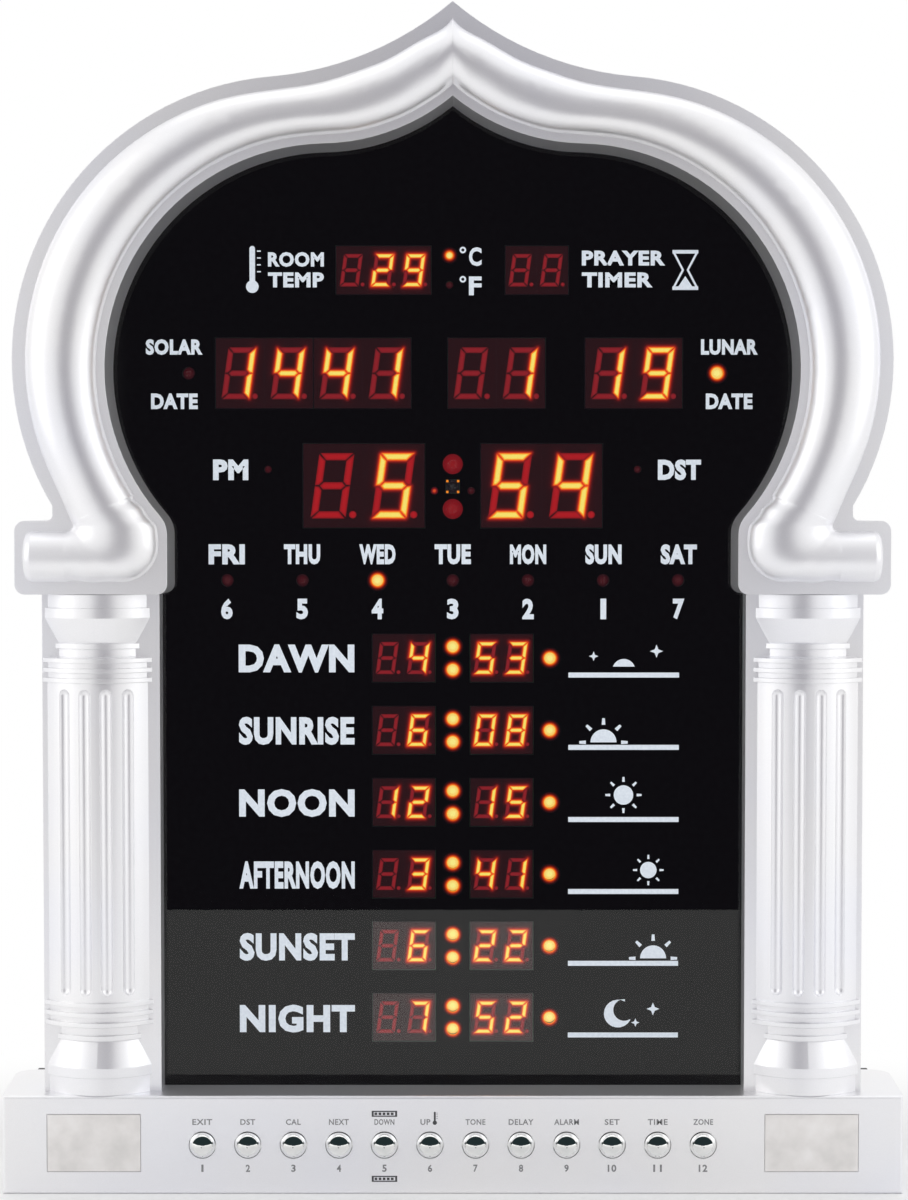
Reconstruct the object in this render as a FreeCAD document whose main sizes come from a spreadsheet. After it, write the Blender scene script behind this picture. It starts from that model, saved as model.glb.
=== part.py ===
"""Azan clock: an ogee-arched LED prayer clock on two columns and a base with a row of push buttons.

Frame: X to the clock's right as it is read, Y from the reader towards the back, Z up.  The origin
lies on the base's underside, under the front face of the display panel.  All sizes in millimetres.
"""
import FreeCAD, Part
import Sketcher
import math
import os
from types import SimpleNamespace
from FreeCAD import Placement, Rotation, Vector

SIZES = {
    # case
    "case_back": 30.0,            # panel's front face to the clock's back
    "cover_thick": 2.5,
    "shell_wall": 2.5,
    "rim_depth": 18.5,            # the arch's flat rim stands this far ahead of the panel
    "fit_gap": 0.15,              # between two mouldings that meet
    "draft_run": 1.0,             # how much the arch's opening widens from panel to rim
    # inner line of the arch, at the panel: circle, then a hollow sweep to the apex
    "opening_radius": 86.1,
    "opening_sweep": 81.8,
    "opening_side_inset": 36.5,   # foot's outer end to the opening's widest point
    "opening_raise": 0.6,         # circle's centre above the date's row
    "opening_bend": 12.0,         # where the circle turns into the foot's straight side
    "apex_height": 37.5,          # frame's height at the apex
    # outer line of the arch, against the inner one
    "arch_band": 24.0,            # difference of the two radii
    "arch_sweep": 125.7,
    "arch_centre_out": 13.0,
    "arch_centre_up": 3.1,
    "arch_rise": 138.6,           # circle's centre to the apex
    "arch_end_rise": 5.9,         # foot's top to where the circle stops
    # roll that runs along the arch and turns out over each foot
    "outer_rim": 5.3,             # flat rim outside the roll
    "inner_rim": 3.5,             # flat rim inside the roll
    "roll_rise": 9.0,
    "roll_notch": 2.5,            # radius of the re-entrant bend at the foot
    "roll_notch_gap": 2.3,        # that bend stands this far outside the roll's circle
    "roll_corner": 14.0,          # radius of the roll's lower corner on the foot
    "roll_tip": 3.0,              # rounding of the roll's end on the foot
    # foot plates
    "foot_height": 28.7,
    "foot_overhang": 9.4,         # beyond the column's plate
    "foot_reach": 4.9,            # inwards of the column's plate
    "foot_raise": 26.1,           # foot's bottom above the first prayer row
    "foot_margin_side": 4.2,      # foot plate beyond the roll
    "foot_margin_top": 4.2,
    "foot_margin_bottom": 5.0,
    "foot_corner": 4.0,           # rounding of the plate's corners
    "foot_notch": 2.5,            # rounding where the plate's top meets the arch
    # columns
    "column_plate_outer": 21.8,   # from the column's axis outwards
    "column_plate_inner": 24.4,
    "column_plate_depth": 11.0,
    "column_axis_back": 19.3,     # turning axis behind the column plate
    "ring_width": 42.6,
    "recess_width": 38.7,
    "shaft_width": 39.4,
    "band_width": 41.0,
    "collar_width": 32.8,
    "waist_width": 30.0,
    "ring_thick": 1.7,
    "ring_pitch": 3.9,
    "pedestal_height": 36.6,      # base's top to the fluted shaft
    "plinth_height": 6.9,
    "band_height": 3.9,
    "flare_height": 10.3,
    "collar_height": 2.0,
    "neck_height": 3.1,
    "capital_height": 34.6,       # fluted shaft to the foot plate
    "abacus_height": 5.3,
    "upper_flare_height": 10.1,
    "flute_width": 4.8,
    "flute_depth": 1.5,
    "flute_pitch": 8.65,
    "flute_inset": 2.6,
    # base
    "base_overhang": 17.1,        # beyond the column's plate
    "base_taper": 1.5,            # each end is this much narrower in front
    "base_height": 38.9,
    "base_front": 19.0,           # base's front face ahead of the panel
    "base_back_corner": 8.0,
    "base_front_corner": 1.2,
    "ledge_x": 60.0,              # the two ribs that carry the panel
    "ledge_width": 4.0,
    "ledge_height": 2.0,
    "nameplate_width": 36.5,
    "nameplate_height": 22.4,
    "nameplate_thick": 0.8,
    "nameplate_proud": 0.2,
    "nameplate_recess": 0.25,     # gap round the plate
    "nameplate_shift": 1.4,       # outwards of the column's axis
    "nameplate_raise": 0.8,       # above the base's middle
    # push buttons
    "button_inset": 24.355,       # plate's inner end to the outermost button
    "button_width": 10.0,
    "button_dome": 3.3,
    "button_collar": 0.4,         # straight side ahead of the base's front
    "button_flange": 13.0,
    "button_flange_thick": 1.2,
    "button_hole_gap": 0.35,      # round the button, in the base's hole
    "button_travel": 0.8,
    "button_gap": 0.3,            # ahead of the flange, and round the stem
    "stem_width": 3.4,
    "stem_reach": 1.5,            # of the stem into its switch, at rest
    "switch_side": 6.0,
    "switch_depth": 5.0,
    "button_board_end": 8.6,      # board beyond the outermost button
    "button_board_height": 25.0,
    "button_post_inset": 3.2,
    "small_post": 4.5,
    "small_pilot": 1.8,
    "small_hole": 2.2,
    # display
    "panel_thick": 3.0,
    "panel_lip": 3.0,             # panel beyond the opening, behind the walls
    "panel_ledge": 4.5,           # panel's bottom below the base's top
    "mask_thick": 0.3,
    "mask_inset": 0.5,
    "window_gap": 0.3,            # round a module, in the mask
    "module_gap": 0.4,            # mask to the faces of the digits
    "module_depth": 8.0,
    "board_thick": 1.6,
    "board_margin": 3.3,          # panel's edge to the display board's edge
    "board_rise": 9.1,            # base's top to the display board's lower edge
    "large_width": 48.3,          # two-digit modules
    "large_height": 33.3,
    "middle_width": 38.6,
    "middle_height": 27.7,
    "small_width": 25.0,
    "small_height": 19.0,
    "triple_width": 37.6,
    "lamp_large": 8.0,
    "lamp_middle": 5.0,
    "lamp_small": 3.0,
    "lamp_flange": 0.4,
    "time_raise": 20.95,          # weekday lamps to the time's modules
    "time_gap": 22.3,             # between the two time modules
    "colon_raise": 8.9,
    "receiver_side": 5.2,
    "side_lamp_x": 73.4,
    "side_lamp_raise": 6.5,
    "sensor_x": 7.3,
    "sensor_drop": 2.0,
    "date_raise": 14.1,           # between the time's and the date's modules
    "lamp_to_year": 10.75,
    "year_to_month": 14.65,
    "month_to_day": 15.8,
    "day_to_lamp": 13.7,
    "board_beside_lamp": 5.2,     # calendar lamp to the display board's edge
    "readout_raise": 17.35,       # between the date's and the upper modules
    "temperature_x": -27.4,
    "countdown_x": 33.3,
    "unit_lamp_x": -1.3,
    "unit_lamp_raise": 5.8,
    "weekday_raise": 4.9,         # above the foot's bottom
    "weekday_inset": 20.6,        # outermost lamp to the opening's side
    "prayer_low_raise": 26.7,     # last prayer row above the base
    "prayer_pitch": 28.84,
    "prayer_gap": 14.0,           # between the two modules of a row
    "prayer_colon_raise": 4.6,
    "prayer_lamp_x": 38.7,
    # sound
    "speaker_width": 57.0,
    "speaker_raise": 48.3,        # above the upper modules' row
    "speaker_depth": 17.0,
    "speaker_flange": 1.5,
    "speaker_sheet": 1.0,
    "cone_sheet": 0.8,
    "magnet_width": 30.0,
    "magnet_depth": 6.0,
    "voice_coil": 14.0,
    "grille_pitch": 5.0,
    "grille_slot": 2.2,
    "lead_width": 1.2,
    "lead_spacing": 3.0,
    # control board, ribbons and power
    "main_board_width": 120.0,
    "main_board_height": 70.0,
    "main_board_rise": 18.1,      # base's top to the main board's lower edge
    "main_board_back": 6.0,       # rear cover to the main board
    "main_post_inset": 5.0,
    "chip_side": 14.0,
    "small_chip_width": 10.4,
    "small_chip_height": 7.6,
    "chip_thick": 1.7,
    "cell_width": 20.0,
    "cell_thick": 3.2,
    "capacitor_width": 5.0,
    "capacitor_length": 11.0,
    "header_width": 24.0,
    "header_height": 5.0,
    "header_depth": 4.0,
    "header_inset": 1.2,          # from the main board's screw head
    "ribbon_width": 18.0,
    "ribbon_thick": 0.8,
    "ribbon_gap": 21.0,           # between the headers of the display's ribbon
    "inlet_inset": 13.0,          # from the main board's post to the inlet's axis
    "inlet_rise": 11.0,           # main board's lower edge to the inlet's axis
    "inlet_side": 9.0,
    "inlet_bore": 6.4,
    "inlet_pin": 2.1,
    "inlet_floor": 1.0,
    "inlet_sink": 0.2,            # mouth below the rear cover's face
    # wall fixing, vents and screws
    "keyhole_spacing": 160.0,
    "keyhole_raise": 8.3,         # above the upper modules' row
    "keyhole_entry": 9.0,
    "keyhole_slot": 4.6,
    "keyhole_rise": 9.0,
    "vent_x": 76.0,
    "vent_height": 28.0,
    "post_width": 7.0,
    "screw_width": 2.4,
    "screw_hole": 2.9,
    "screw_pilot": 2.5,
    "screw_head": 5.6,
    "screw_head_high": 1.8,
    "screw_sink": 1.5,
    "screw_length": 10.0,
    "board_screw_length": 7.0,
    "small_screw_length": 5.5,
    "small_head": 4.0,
    "small_head_high": 1.4,
    "speaker_screw_length": 2.8,
}

# Places that several pieces share, worked out in the document.
PLACES = {
    # in depth
    "cover_front": "Sizes.case_back - Sizes.cover_thick",
    "moulding_back": "cover_front - Sizes.fit_gap",
    "mask_back": "Sizes.panel_thick + Sizes.mask_thick",
    "face_front": "mask_back + Sizes.module_gap",
    "board_front": "face_front + Sizes.module_depth",
    "board_back": "board_front + Sizes.board_thick",
    "flange_front": "-Sizes.base_front + Sizes.shell_wall + Sizes.button_gap",
    "flange_back": "flange_front + Sizes.button_flange_thick",
    "switch_front": "flange_back + Sizes.button_travel + Sizes.button_gap",
    "switch_back": "switch_front + Sizes.switch_depth",
    "stem_end": "switch_front + Sizes.stem_reach",
    "button_board_back": "switch_back + Sizes.board_thick",
    "main_back": "cover_front - Sizes.main_board_back",
    "main_front": "main_back - Sizes.board_thick",
    "magnet_back": "cover_front - Sizes.speaker_depth + Sizes.magnet_depth",
    "nameplate_front": "-Sizes.base_front - Sizes.nameplate_proud",
    "nameplate_floor": "nameplate_front + Sizes.nameplate_thick",
    # across: the date's row sets the board's width, and the case goes round the board
    "date_gaps": "Sizes.lamp_to_year + Sizes.year_to_month + Sizes.month_to_day + Sizes.day_to_lamp",
    "calendar_lamp_x": "(4 * Sizes.middle_width + Sizes.window_gap + date_gaps) / 2",
    "year_x": "-calendar_lamp_x + Sizes.lamp_to_year + Sizes.middle_width + Sizes.window_gap / 2",
    "month_x": "year_x + 1.5 * Sizes.middle_width + Sizes.window_gap / 2 + Sizes.year_to_month",
    "day_x": "month_x + Sizes.middle_width + Sizes.month_to_day",
    "board_half": "calendar_lamp_x + Sizes.board_beside_lamp",
    "foot_panel_half": "board_half + Sizes.board_margin",
    "opening_half": "foot_panel_half - Sizes.panel_lip",
    "column_in": "opening_half + Sizes.foot_reach",
    "column_panel_half": "column_in + Sizes.draft_run + Sizes.panel_lip",
    "column_x": "column_in + Sizes.column_plate_inner",
    "column_out": "column_x + Sizes.column_plate_outer",
    "foot_out": "column_out + Sizes.foot_overhang",
    "base_half": "column_out + Sizes.base_overhang",
    "opening_centre_x": "foot_out - Sizes.opening_side_inset - Sizes.opening_radius",
    "arch_centre_x": "opening_centre_x + Sizes.arch_centre_out",
    "arch_radius": "Sizes.opening_radius + Sizes.arch_band",
    "weekday_pitch": "(opening_half - Sizes.weekday_inset) / 3",
    "nameplate_x": "column_x + Sizes.nameplate_shift",
    "button_pitch": "(nameplate_x - Sizes.nameplate_width / 2 - Sizes.button_inset) / 5.5",
    "button_board_half": "5.5 * button_pitch + Sizes.button_board_end",
    "main_post_x": "Sizes.main_board_width / 2 - Sizes.main_post_inset",
    "button_header_x": "main_post_x - (Sizes.screw_head + Sizes.header_width) / 2 - Sizes.header_inset",
    "inlet_x": "main_post_x - Sizes.inlet_inset",
    # in height, from the base up
    "panel_bottom": "Sizes.base_height - Sizes.panel_ledge",
    "button_z": "Sizes.base_height / 2",
    "button_post_raise": "Sizes.button_board_height / 2 - Sizes.button_post_inset",
    "nameplate_z": "button_z + Sizes.nameplate_raise",
    "board_bottom": "Sizes.base_height + Sizes.board_rise",
    "main_low": "Sizes.base_height + Sizes.main_board_rise",
    "main_high": "main_low + Sizes.main_board_height",
    "main_middle": "(main_low + main_high) / 2",
    "inlet_z": "main_low + Sizes.inlet_rise",
    "prayer_z": "Sizes.base_height + Sizes.prayer_low_raise + 5 * Sizes.prayer_pitch",
    "foot_bottom": "prayer_z + Sizes.foot_raise",
    "foot_top": "foot_bottom + Sizes.foot_height",
    "shaft_low": "Sizes.base_height + Sizes.pedestal_height",
    "shaft_high": "foot_bottom - Sizes.capital_height",
    "weekday_z": "foot_bottom + Sizes.weekday_raise",
    "time_z": "weekday_z + Sizes.time_raise + Sizes.large_height / 2",
    "date_z": "time_z + Sizes.date_raise + (Sizes.large_height + Sizes.middle_height) / 2",
    "readout_z": "date_z + Sizes.readout_raise + (Sizes.middle_height + Sizes.small_height) / 2",
    "keyhole_z": "readout_z + Sizes.keyhole_raise",
    "speaker_z": "readout_z + Sizes.speaker_raise",
    "board_top": "speaker_z - Sizes.speaker_width / 2",
    "opening_centre_z": "date_z + Sizes.opening_raise",
    "arch_centre_z": "opening_centre_z + Sizes.arch_centre_up",
    "arch_apex": "arch_centre_z + Sizes.arch_rise",
    "opening_apex": "arch_apex - Sizes.apex_height",
    "arch_end_z": "foot_top + Sizes.arch_end_rise",
}

doc = FreeCAD.newDocument("azan_clock")


def filled_sheet(name, entries, mark):
    """A sheet whose column B holds the entries, each under its alias."""
    sheet = doc.addObject("Spreadsheet::Sheet", name)
    for row, (alias, entry) in enumerate(entries.items(), start=1):
        sheet.set(f"A{row}", alias)
        sheet.set(f"B{row}", f"{mark}{entry}")
        sheet.setAlias(f"B{row}", alias)
    doc.recompute()
    return sheet


sizes_sheet = filled_sheet("Sizes", SIZES, "")
places_sheet = filled_sheet("Places", PLACES, "=")
s = SimpleNamespace(**{alias: float(sizes_sheet.get(alias)) for alias in SIZES})
p = SimpleNamespace(**{alias: float(places_sheet.get(alias)) for alias in PLACES})

NODES = []
FORWARD = Vector(0, -1, 0)
BACKWARD = Vector(0, 1, 0)
UP = Vector(0, 0, 1)
SPARE = 1.0    # how far a cutting shape runs past what it cuts


# ---------------------------------------------------------------- helpers

def keep(feature, node):
    """Names a finished sub-part and lists it for export."""
    feature.Label = node
    NODES.append(feature)
    return feature


def coded(node, shape):
    """A sub-part whose shape is worked out in code."""
    feature = doc.addObject("Part::Feature", node)
    feature.Shape = shape
    return keep(feature, node)


def value_of(expression):
    """The number that an expression has now."""
    return float(sizes_sheet.evalExpression(expression))


def origin_plane(owner, role):
    return next(item for item in owner.Origin.OriginFeatures if item.Role == role)


def sketch_at(owner, name, depth):
    """A sketch parallel to the clock's face, whose plane lies at Y = depth, an expression."""
    sketch = owner.newObject("Sketcher::SketchObject", name)
    sketch.AttachmentSupport = [(origin_plane(owner, "XZ_Plane"), "")]
    sketch.MapMode = "FlatFace"
    sketch.setExpression("AttachmentOffset.Base.z", f"-({depth})")
    return sketch


def bind(sketch, constraint, expression):
    """Adds a constraint and ties its value to the sheets."""
    index = sketch.addConstraint(constraint)
    sketch.setExpression(f"Constraints[{index}]", expression)


def rectangle(sketch, left, right, low, high):
    """A rectangle whose four sides are at the given X and Z expressions."""
    x_low, x_high, z_low, z_high = (value_of(side) for side in (left, right, low, high))
    corners = [Vector(x_low, z_low, 0), Vector(x_high, z_low, 0),
               Vector(x_high, z_high, 0), Vector(x_low, z_high, 0)]
    first = sketch.GeometryCount
    for number in range(4):
        sketch.addGeometry(Part.LineSegment(corners[number], corners[(number + 1) % 4]))
    for number in range(4):
        sketch.addConstraint(Sketcher.Constraint("Coincident", first + number, 2,
                                                 first + (number + 1) % 4, 1))
    for number, kind in enumerate(("Horizontal", "Vertical", "Horizontal", "Vertical")):
        sketch.addConstraint(Sketcher.Constraint(kind, first + number))
    for kind, line, value, expression in (("DistanceX", first, x_low, left),
                                          ("DistanceY", first, z_low, low),
                                          ("DistanceX", first + 2, x_high, right),
                                          ("DistanceY", first + 2, z_high, high)):
        bind(sketch, Sketcher.Constraint(kind, -1, 1, line, 1, value), expression)


def circle(sketch, across, height, width):
    """A circle at the given X and Z expressions."""
    centre = Vector(value_of(across), value_of(height), 0)
    index = sketch.addGeometry(Part.Circle(centre, Vector(0, 0, 1), value_of(width) / 2))
    bind(sketch, Sketcher.Constraint("DistanceX", -1, 1, index, 3, centre.x), across)
    bind(sketch, Sketcher.Constraint("DistanceY", -1, 1, index, 3, centre.y), height)
    bind(sketch, Sketcher.Constraint("Diameter", index, value_of(width)), width)


def pad(owner, sketch, length):
    """Pads a sketch towards the back by an expression."""
    feature = owner.newObject("PartDesign::Pad", "Pad")
    feature.Profile = sketch
    feature.Reversed = True
    feature.setExpression("Length", length)
    doc.recompute()
    return feature


def pocket_through(owner, sketch):
    """Cuts a sketch through the whole piece."""
    feature = owner.newObject("PartDesign::Pocket", "Pocket")
    feature.Profile = sketch
    feature.Type = 1
    feature.Midplane = True
    doc.recompute()
    return feature


def bound_box(name, left, right, front, back, low, high):
    """A Part::Box between six expressions."""
    feature = doc.addObject("Part::Box", name)
    for size, letter, start, end in (("Length", "x", left, right), ("Width", "y", front, back),
                                     ("Height", "z", low, high)):
        feature.setExpression(size, f"({end}) - ({start})")
        feature.setExpression(f"Placement.Base.{letter}", start)
    return feature


def bound_block(name, across, width, front, back, height, tall):
    """A Part::Box centred across and in height."""
    return bound_box(name, f"{across} - {width} / 2", f"{across} + {width} / 2", front, back,
                     f"{height} - {tall} / 2", f"{height} + {tall} / 2")


def bound_rod(name, across, height, width, front, back):
    """A Part::Cylinder along Y between two expressions."""
    feature = doc.addObject("Part::Cylinder", name)
    feature.Placement = Placement(Vector(), Rotation(Vector(1, 0, 0), -90))
    feature.setExpression("Radius", f"{width} / 2")
    feature.setExpression("Height", f"({back}) - ({front})")
    for letter, place in (("x", across), ("y", front), ("z", height)):
        feature.setExpression(f"Placement.Base.{letter}", place)
    return feature


def gathered(node, features):
    """A node of several separate solids."""
    group = doc.addObject("Part::Compound", node)
    group.Links = features
    return keep(group, node)


def box(left, right, front, back, low, high):
    return Part.makeBox(right - left, back - front, high - low, Vector(left, front, low))


def rod(across, height, radius, front, back):
    """A cylinder along Y."""
    return Part.makeCylinder(radius, back - front, Vector(across, front, height), BACKWARD)


def mirrored(shape):
    return shape.mirror(Vector(0, 0, 0), Vector(1, 0, 0))


def both_sides(shape):
    return shape.fuse(mirrored(shape)).removeSplitter()


def solid_between(wire, front, back):
    """The closed flat wire, drawn at Y = 0, as a solid from front to back."""
    moved = wire.copy()
    moved.translate(Vector(0, front, 0))
    return Part.Face(moved).extrude(Vector(0, back - front, 0))


# ---------------------------------------------------------------- the arch's two lines

class Ogee:
    """Right half of an ogee line: a circle that turns into a hollow sweep up to the apex."""

    def __init__(self, centre, radius, sweep, sweep_centre):
        self.centre, self.radius = centre, radius
        self.sweep, self.sweep_centre = sweep, sweep_centre
        reach = sweep_centre.sub(centre)
        self.join = centre + reach * (radius / reach.Length)
        self.join_angle = math.atan2(reach.z, reach.x)
        self.apex_z = sweep_centre.z - math.sqrt(sweep ** 2 - sweep_centre.x ** 2)

    @classmethod
    def to_apex(cls, centre_x, centre_z, radius, sweep, apex_z):
        """The sweep's centre lies one sweep from the apex, and radius + sweep from the circle's centre."""
        centre, apex = Vector(centre_x, 0, centre_z), Vector(0, 0, apex_z)
        base = apex.sub(centre)
        along = ((radius + sweep) ** 2 - sweep ** 2 + base.Length ** 2) / (2 * base.Length)
        aside = math.sqrt((radius + sweep) ** 2 - along ** 2)
        unit = base * (1 / base.Length)
        return cls(centre, radius, sweep, centre + unit * along + Vector(unit.z, 0, -unit.x) * aside)

    def grown(self, margin):
        """The parallel line, further from the opening by margin."""
        return Ogee(self.centre, self.radius + margin, self.sweep - margin, self.sweep_centre)

    def on_circle(self, angle):
        return self.centre + pointing(angle) * self.radius

    def angle_at_height(self, height):
        return math.asin((height - self.centre.z) / self.radius)

    def angle_across(self, point, direction):
        """The circle's point straight inwards of a point outside it, against the direction."""
        reach = point.sub(self.centre)
        along = reach.dot(direction)
        ahead = along - math.sqrt(along ** 2 - reach.Length ** 2 + self.radius ** 2)
        crossing = reach - direction * ahead
        return math.atan2(crossing.z, crossing.x)

    def on_sweep(self, share):
        """From the join, share 0, to the apex, share 1."""
        start = math.atan2(self.join.z - self.sweep_centre.z, self.join.x - self.sweep_centre.x)
        end = math.atan2(self.apex_z - self.sweep_centre.z, -self.sweep_centre.x)
        angle = start + share * ((end - start + math.pi) % (2 * math.pi) - math.pi)
        return self.sweep_centre + pointing(angle) * self.sweep

    def edges(self, start_angle):
        """From the circle's point at start_angle up to the apex."""
        middle = (start_angle + self.join_angle) / 2
        return [Part.Arc(self.on_circle(start_angle), self.on_circle(middle), self.join).toShape(),
                Part.Arc(self.join, self.on_sweep(0.5), self.on_sweep(1)).toShape()]


outer_line = Ogee.to_apex(p.arch_centre_x, p.arch_centre_z, p.arch_radius, s.arch_sweep, p.arch_apex)
opening_line = Ogee.to_apex(p.opening_centre_x, p.opening_centre_z, s.opening_radius,
                            s.opening_sweep, p.opening_apex)


def pointing(angle):
    """The direction at an angle in the clock's face."""
    return Vector(math.cos(angle), 0, math.sin(angle))


def opening_bend():
    """Centre of the bend between the opening's circle and the foot's side, and the circle's angle to it."""
    reach, centre = opening_line.radius + s.opening_bend, opening_line.centre
    across = p.opening_half + s.opening_bend
    height = centre.z - math.sqrt(reach ** 2 - (across - centre.x) ** 2)
    return Vector(across, 0, height), math.atan2(height - centre.z, across - centre.x)


def opening_edges(margin):
    """The opening's line, wider by margin, from the foot's straight side up to the apex."""
    centre, angle = opening_bend()
    line, radius = opening_line.grown(margin), s.opening_bend - margin
    low, middle = centre + pointing(math.pi) * radius, centre + pointing(math.pi + angle / 2) * radius
    return [Part.Arc(low, middle, line.on_circle(angle)).toShape()] + line.edges(angle)


def chain(first_edges, points):
    """A closed wire: the edges, then straight lines through points back to the start."""
    start, end = first_edges[0].Vertexes[0].Point, first_edges[-1].Vertexes[-1].Point
    path = [end] + [Vector(x, 0, z) for x, z in points] + [start]
    lines = [Part.makeLine(path[number], path[number + 1]) for number in range(len(path) - 1)]
    return Part.Wire(list(first_edges) + lines)


def silhouette(shrink, front, back):
    """Right half of the arch with its foot, filled down to the foot's bottom, smaller by shrink."""
    line = outer_line.grown(-shrink)
    angle = line.angle_at_height(p.arch_end_z)
    side = line.on_circle(angle).x
    low, high, out = p.foot_bottom + shrink, p.foot_top - shrink, p.foot_out - shrink
    outline = chain(line.edges(angle), [(0, low), (out, low), (out, high), (side, high)])
    return solid_between(outline, front, back)


def rounded_silhouette(front, back):
    """The right half with the corners of its foot rounded, and the notch above it."""
    solid = silhouette(0, front, back)
    side = outer_line.on_circle(outer_line.angle_at_height(p.arch_end_z)).x
    for radius, corners in ((s.foot_corner, [(p.foot_out, p.foot_bottom), (p.foot_out, p.foot_top)]),
                            (s.foot_notch, [(side, p.foot_top)])):
        solid = solid.makeFillet(radius, edges_at(solid, corners))
    return solid


def edges_at(solid, corners):
    """The edges along Y through (x, z) corners."""
    return [edge for edge in solid.Edges for x, z in corners
            if math.hypot(edge.CenterOfMass.x - x, edge.CenterOfMass.z - z) < s.fit_gap]


def opening(margin, bottom):
    """Right half of the arch's opening, wider by margin, filled down to bottom."""
    return chain(opening_edges(margin), [(0, bottom), (p.opening_half + margin, bottom)])


# ---------------------------------------------------------------- arch frame

def roll_turn():
    """Centre of the roll's re-entrant turn, and the arch's angle where a straight run to it starts."""
    outside = outer_line.grown(-s.outer_rim)
    height = p.foot_top - s.foot_margin_top + s.roll_notch
    touch = outside.radius + s.roll_notch
    reach = touch + s.roll_notch_gap
    across = outside.centre.x + math.sqrt(reach ** 2 - (height - outside.centre.z) ** 2)
    angle = math.atan2(height - outside.centre.z, across - outside.centre.x) + math.acos(touch / reach)
    return Vector(across, 0, height), angle


def arch_stations():
    """Pairs of edge points of the roll, outer and inner, from the apex down to the turn."""
    outside = outer_line.grown(-s.outer_rim)
    inside = opening_line.grown(s.draft_run + s.inner_rim)
    turn, angle = roll_turn()
    start, end = outside.on_circle(angle), turn - pointing(angle) * s.roll_notch
    start_inside, end_inside = (inside.angle_across(point, pointing(angle)) for point in (start, end))
    pairs = [(outside.on_sweep(1 - step / 6), inside.on_sweep(1 - step / 6)) for step in range(6)]
    for step in range(9):
        share = step / 8
        pairs.append((outside.on_circle(outside.join_angle + share * (angle - outside.join_angle)),
                      inside.on_circle(inside.join_angle + share * (start_inside - inside.join_angle))))
    for share in (1 / 3, 2 / 3, 1):
        pairs.append((start + (end - start) * share,
                      inside.on_circle(start_inside + share * (end_inside - start_inside))))
    return pairs


def foot_stations():
    """The pairs that swing the roll round its re-entrant turn, from the arch to the foot."""
    inside = opening_line.grown(s.draft_run + s.inner_rim)
    turn, angle = roll_turn()
    end = inside.angle_across(turn - pointing(angle) * s.roll_notch, pointing(angle))
    bend, bend_angle = opening_bend()
    bend_radius = s.opening_bend - s.draft_run - s.inner_rim
    bottom = p.foot_bottom + s.foot_margin_bottom
    corner = Vector(bend.x - bend_radius + s.roll_corner, 0, bottom + s.roll_corner)
    swing = [inside.on_circle(end + share * (bend_angle - end)) for share in (0, 1 / 3, 2 / 3, 1)]
    swing.append(bend + pointing(math.pi + bend_angle / 2) * bend_radius)
    swing.append(Vector(bend.x - bend_radius, 0, (bend.z + corner.z) / 2))
    swing += [corner + pointing(math.radians(180 + 15 * step)) * s.roll_corner for step in range(1, 7)]
    swing += [Vector(corner.x + share * (turn.x - corner.x), 0, bottom) for share in (1 / 3, 2 / 3, 1)]
    reaches = [point.sub(turn) for point in swing]
    return [(turn + reach * (s.roll_notch / reach.Length), turn + reach) for reach in reaches]


def roll_section(outside, inside, shrink, legs):
    """Half an ellipse that stands on the rim, or the hollow in it with legs that cut through the rim."""
    across = inside.sub(outside)
    inset = across * (shrink / across.Length)
    lift = Vector(0, -s.rim_depth, 0)
    start, end = outside + inset + lift, inside - inset + lift
    middle = (start + end) * 0.5
    crest = middle + FORWARD * (s.roll_rise - shrink)
    if start.distanceToPoint(middle) < s.roll_rise - shrink:
        arc = Part.ArcOfEllipse(Part.Ellipse(crest, end, middle), -math.pi / 2, math.pi / 2).toShape()
    else:
        arc = Part.ArcOfEllipse(Part.Ellipse(start, crest, middle), 0, math.pi).toShape()
    foot = BACKWARD * legs
    corners = [end, end + foot, start + foot, start]
    sides = [Part.makeLine(corners[number], corners[number + 1]) for number in range(3)]
    return Part.Wire([arc] + sides)


def end_stretches(shrink, legs):
    """The straight end of the roll on the foot, and its rounded tip, which the hollow lacks."""
    tip = 0 if shrink else s.roll_tip
    above, below = foot_stations()[-1]
    end = p.foot_out - s.foot_margin_side - shrink

    def section(across, more):
        return roll_section(Vector(across, 0, above.z), Vector(across, 0, below.z), shrink + more, legs)

    stretches = [Part.makeLoft([section(above.x, 0), section(end - tip, 0)], True, True)]
    if tip:
        quarter = [math.radians(22.5 * step) for step in range(5)]
        rounds = [section(end - tip * (1 - math.sin(angle)), tip * (1 - math.cos(angle)))
                  for angle in quarter]
        stretches.append(Part.makeLoft(rounds, True, False, False, 3))
    return stretches


def roll(shrink, legs):
    """The roll in stretches that meet end to end, from the foot's end up to the apex."""
    stretches = end_stretches(shrink, legs)
    for stations in (foot_stations(), arch_stations()):
        sections = [roll_section(outside, inside, shrink, legs) for outside, inside in stations]
        stretches.append(Part.makeLoft(sections, True, False, False, 3))
    return stretches


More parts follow.
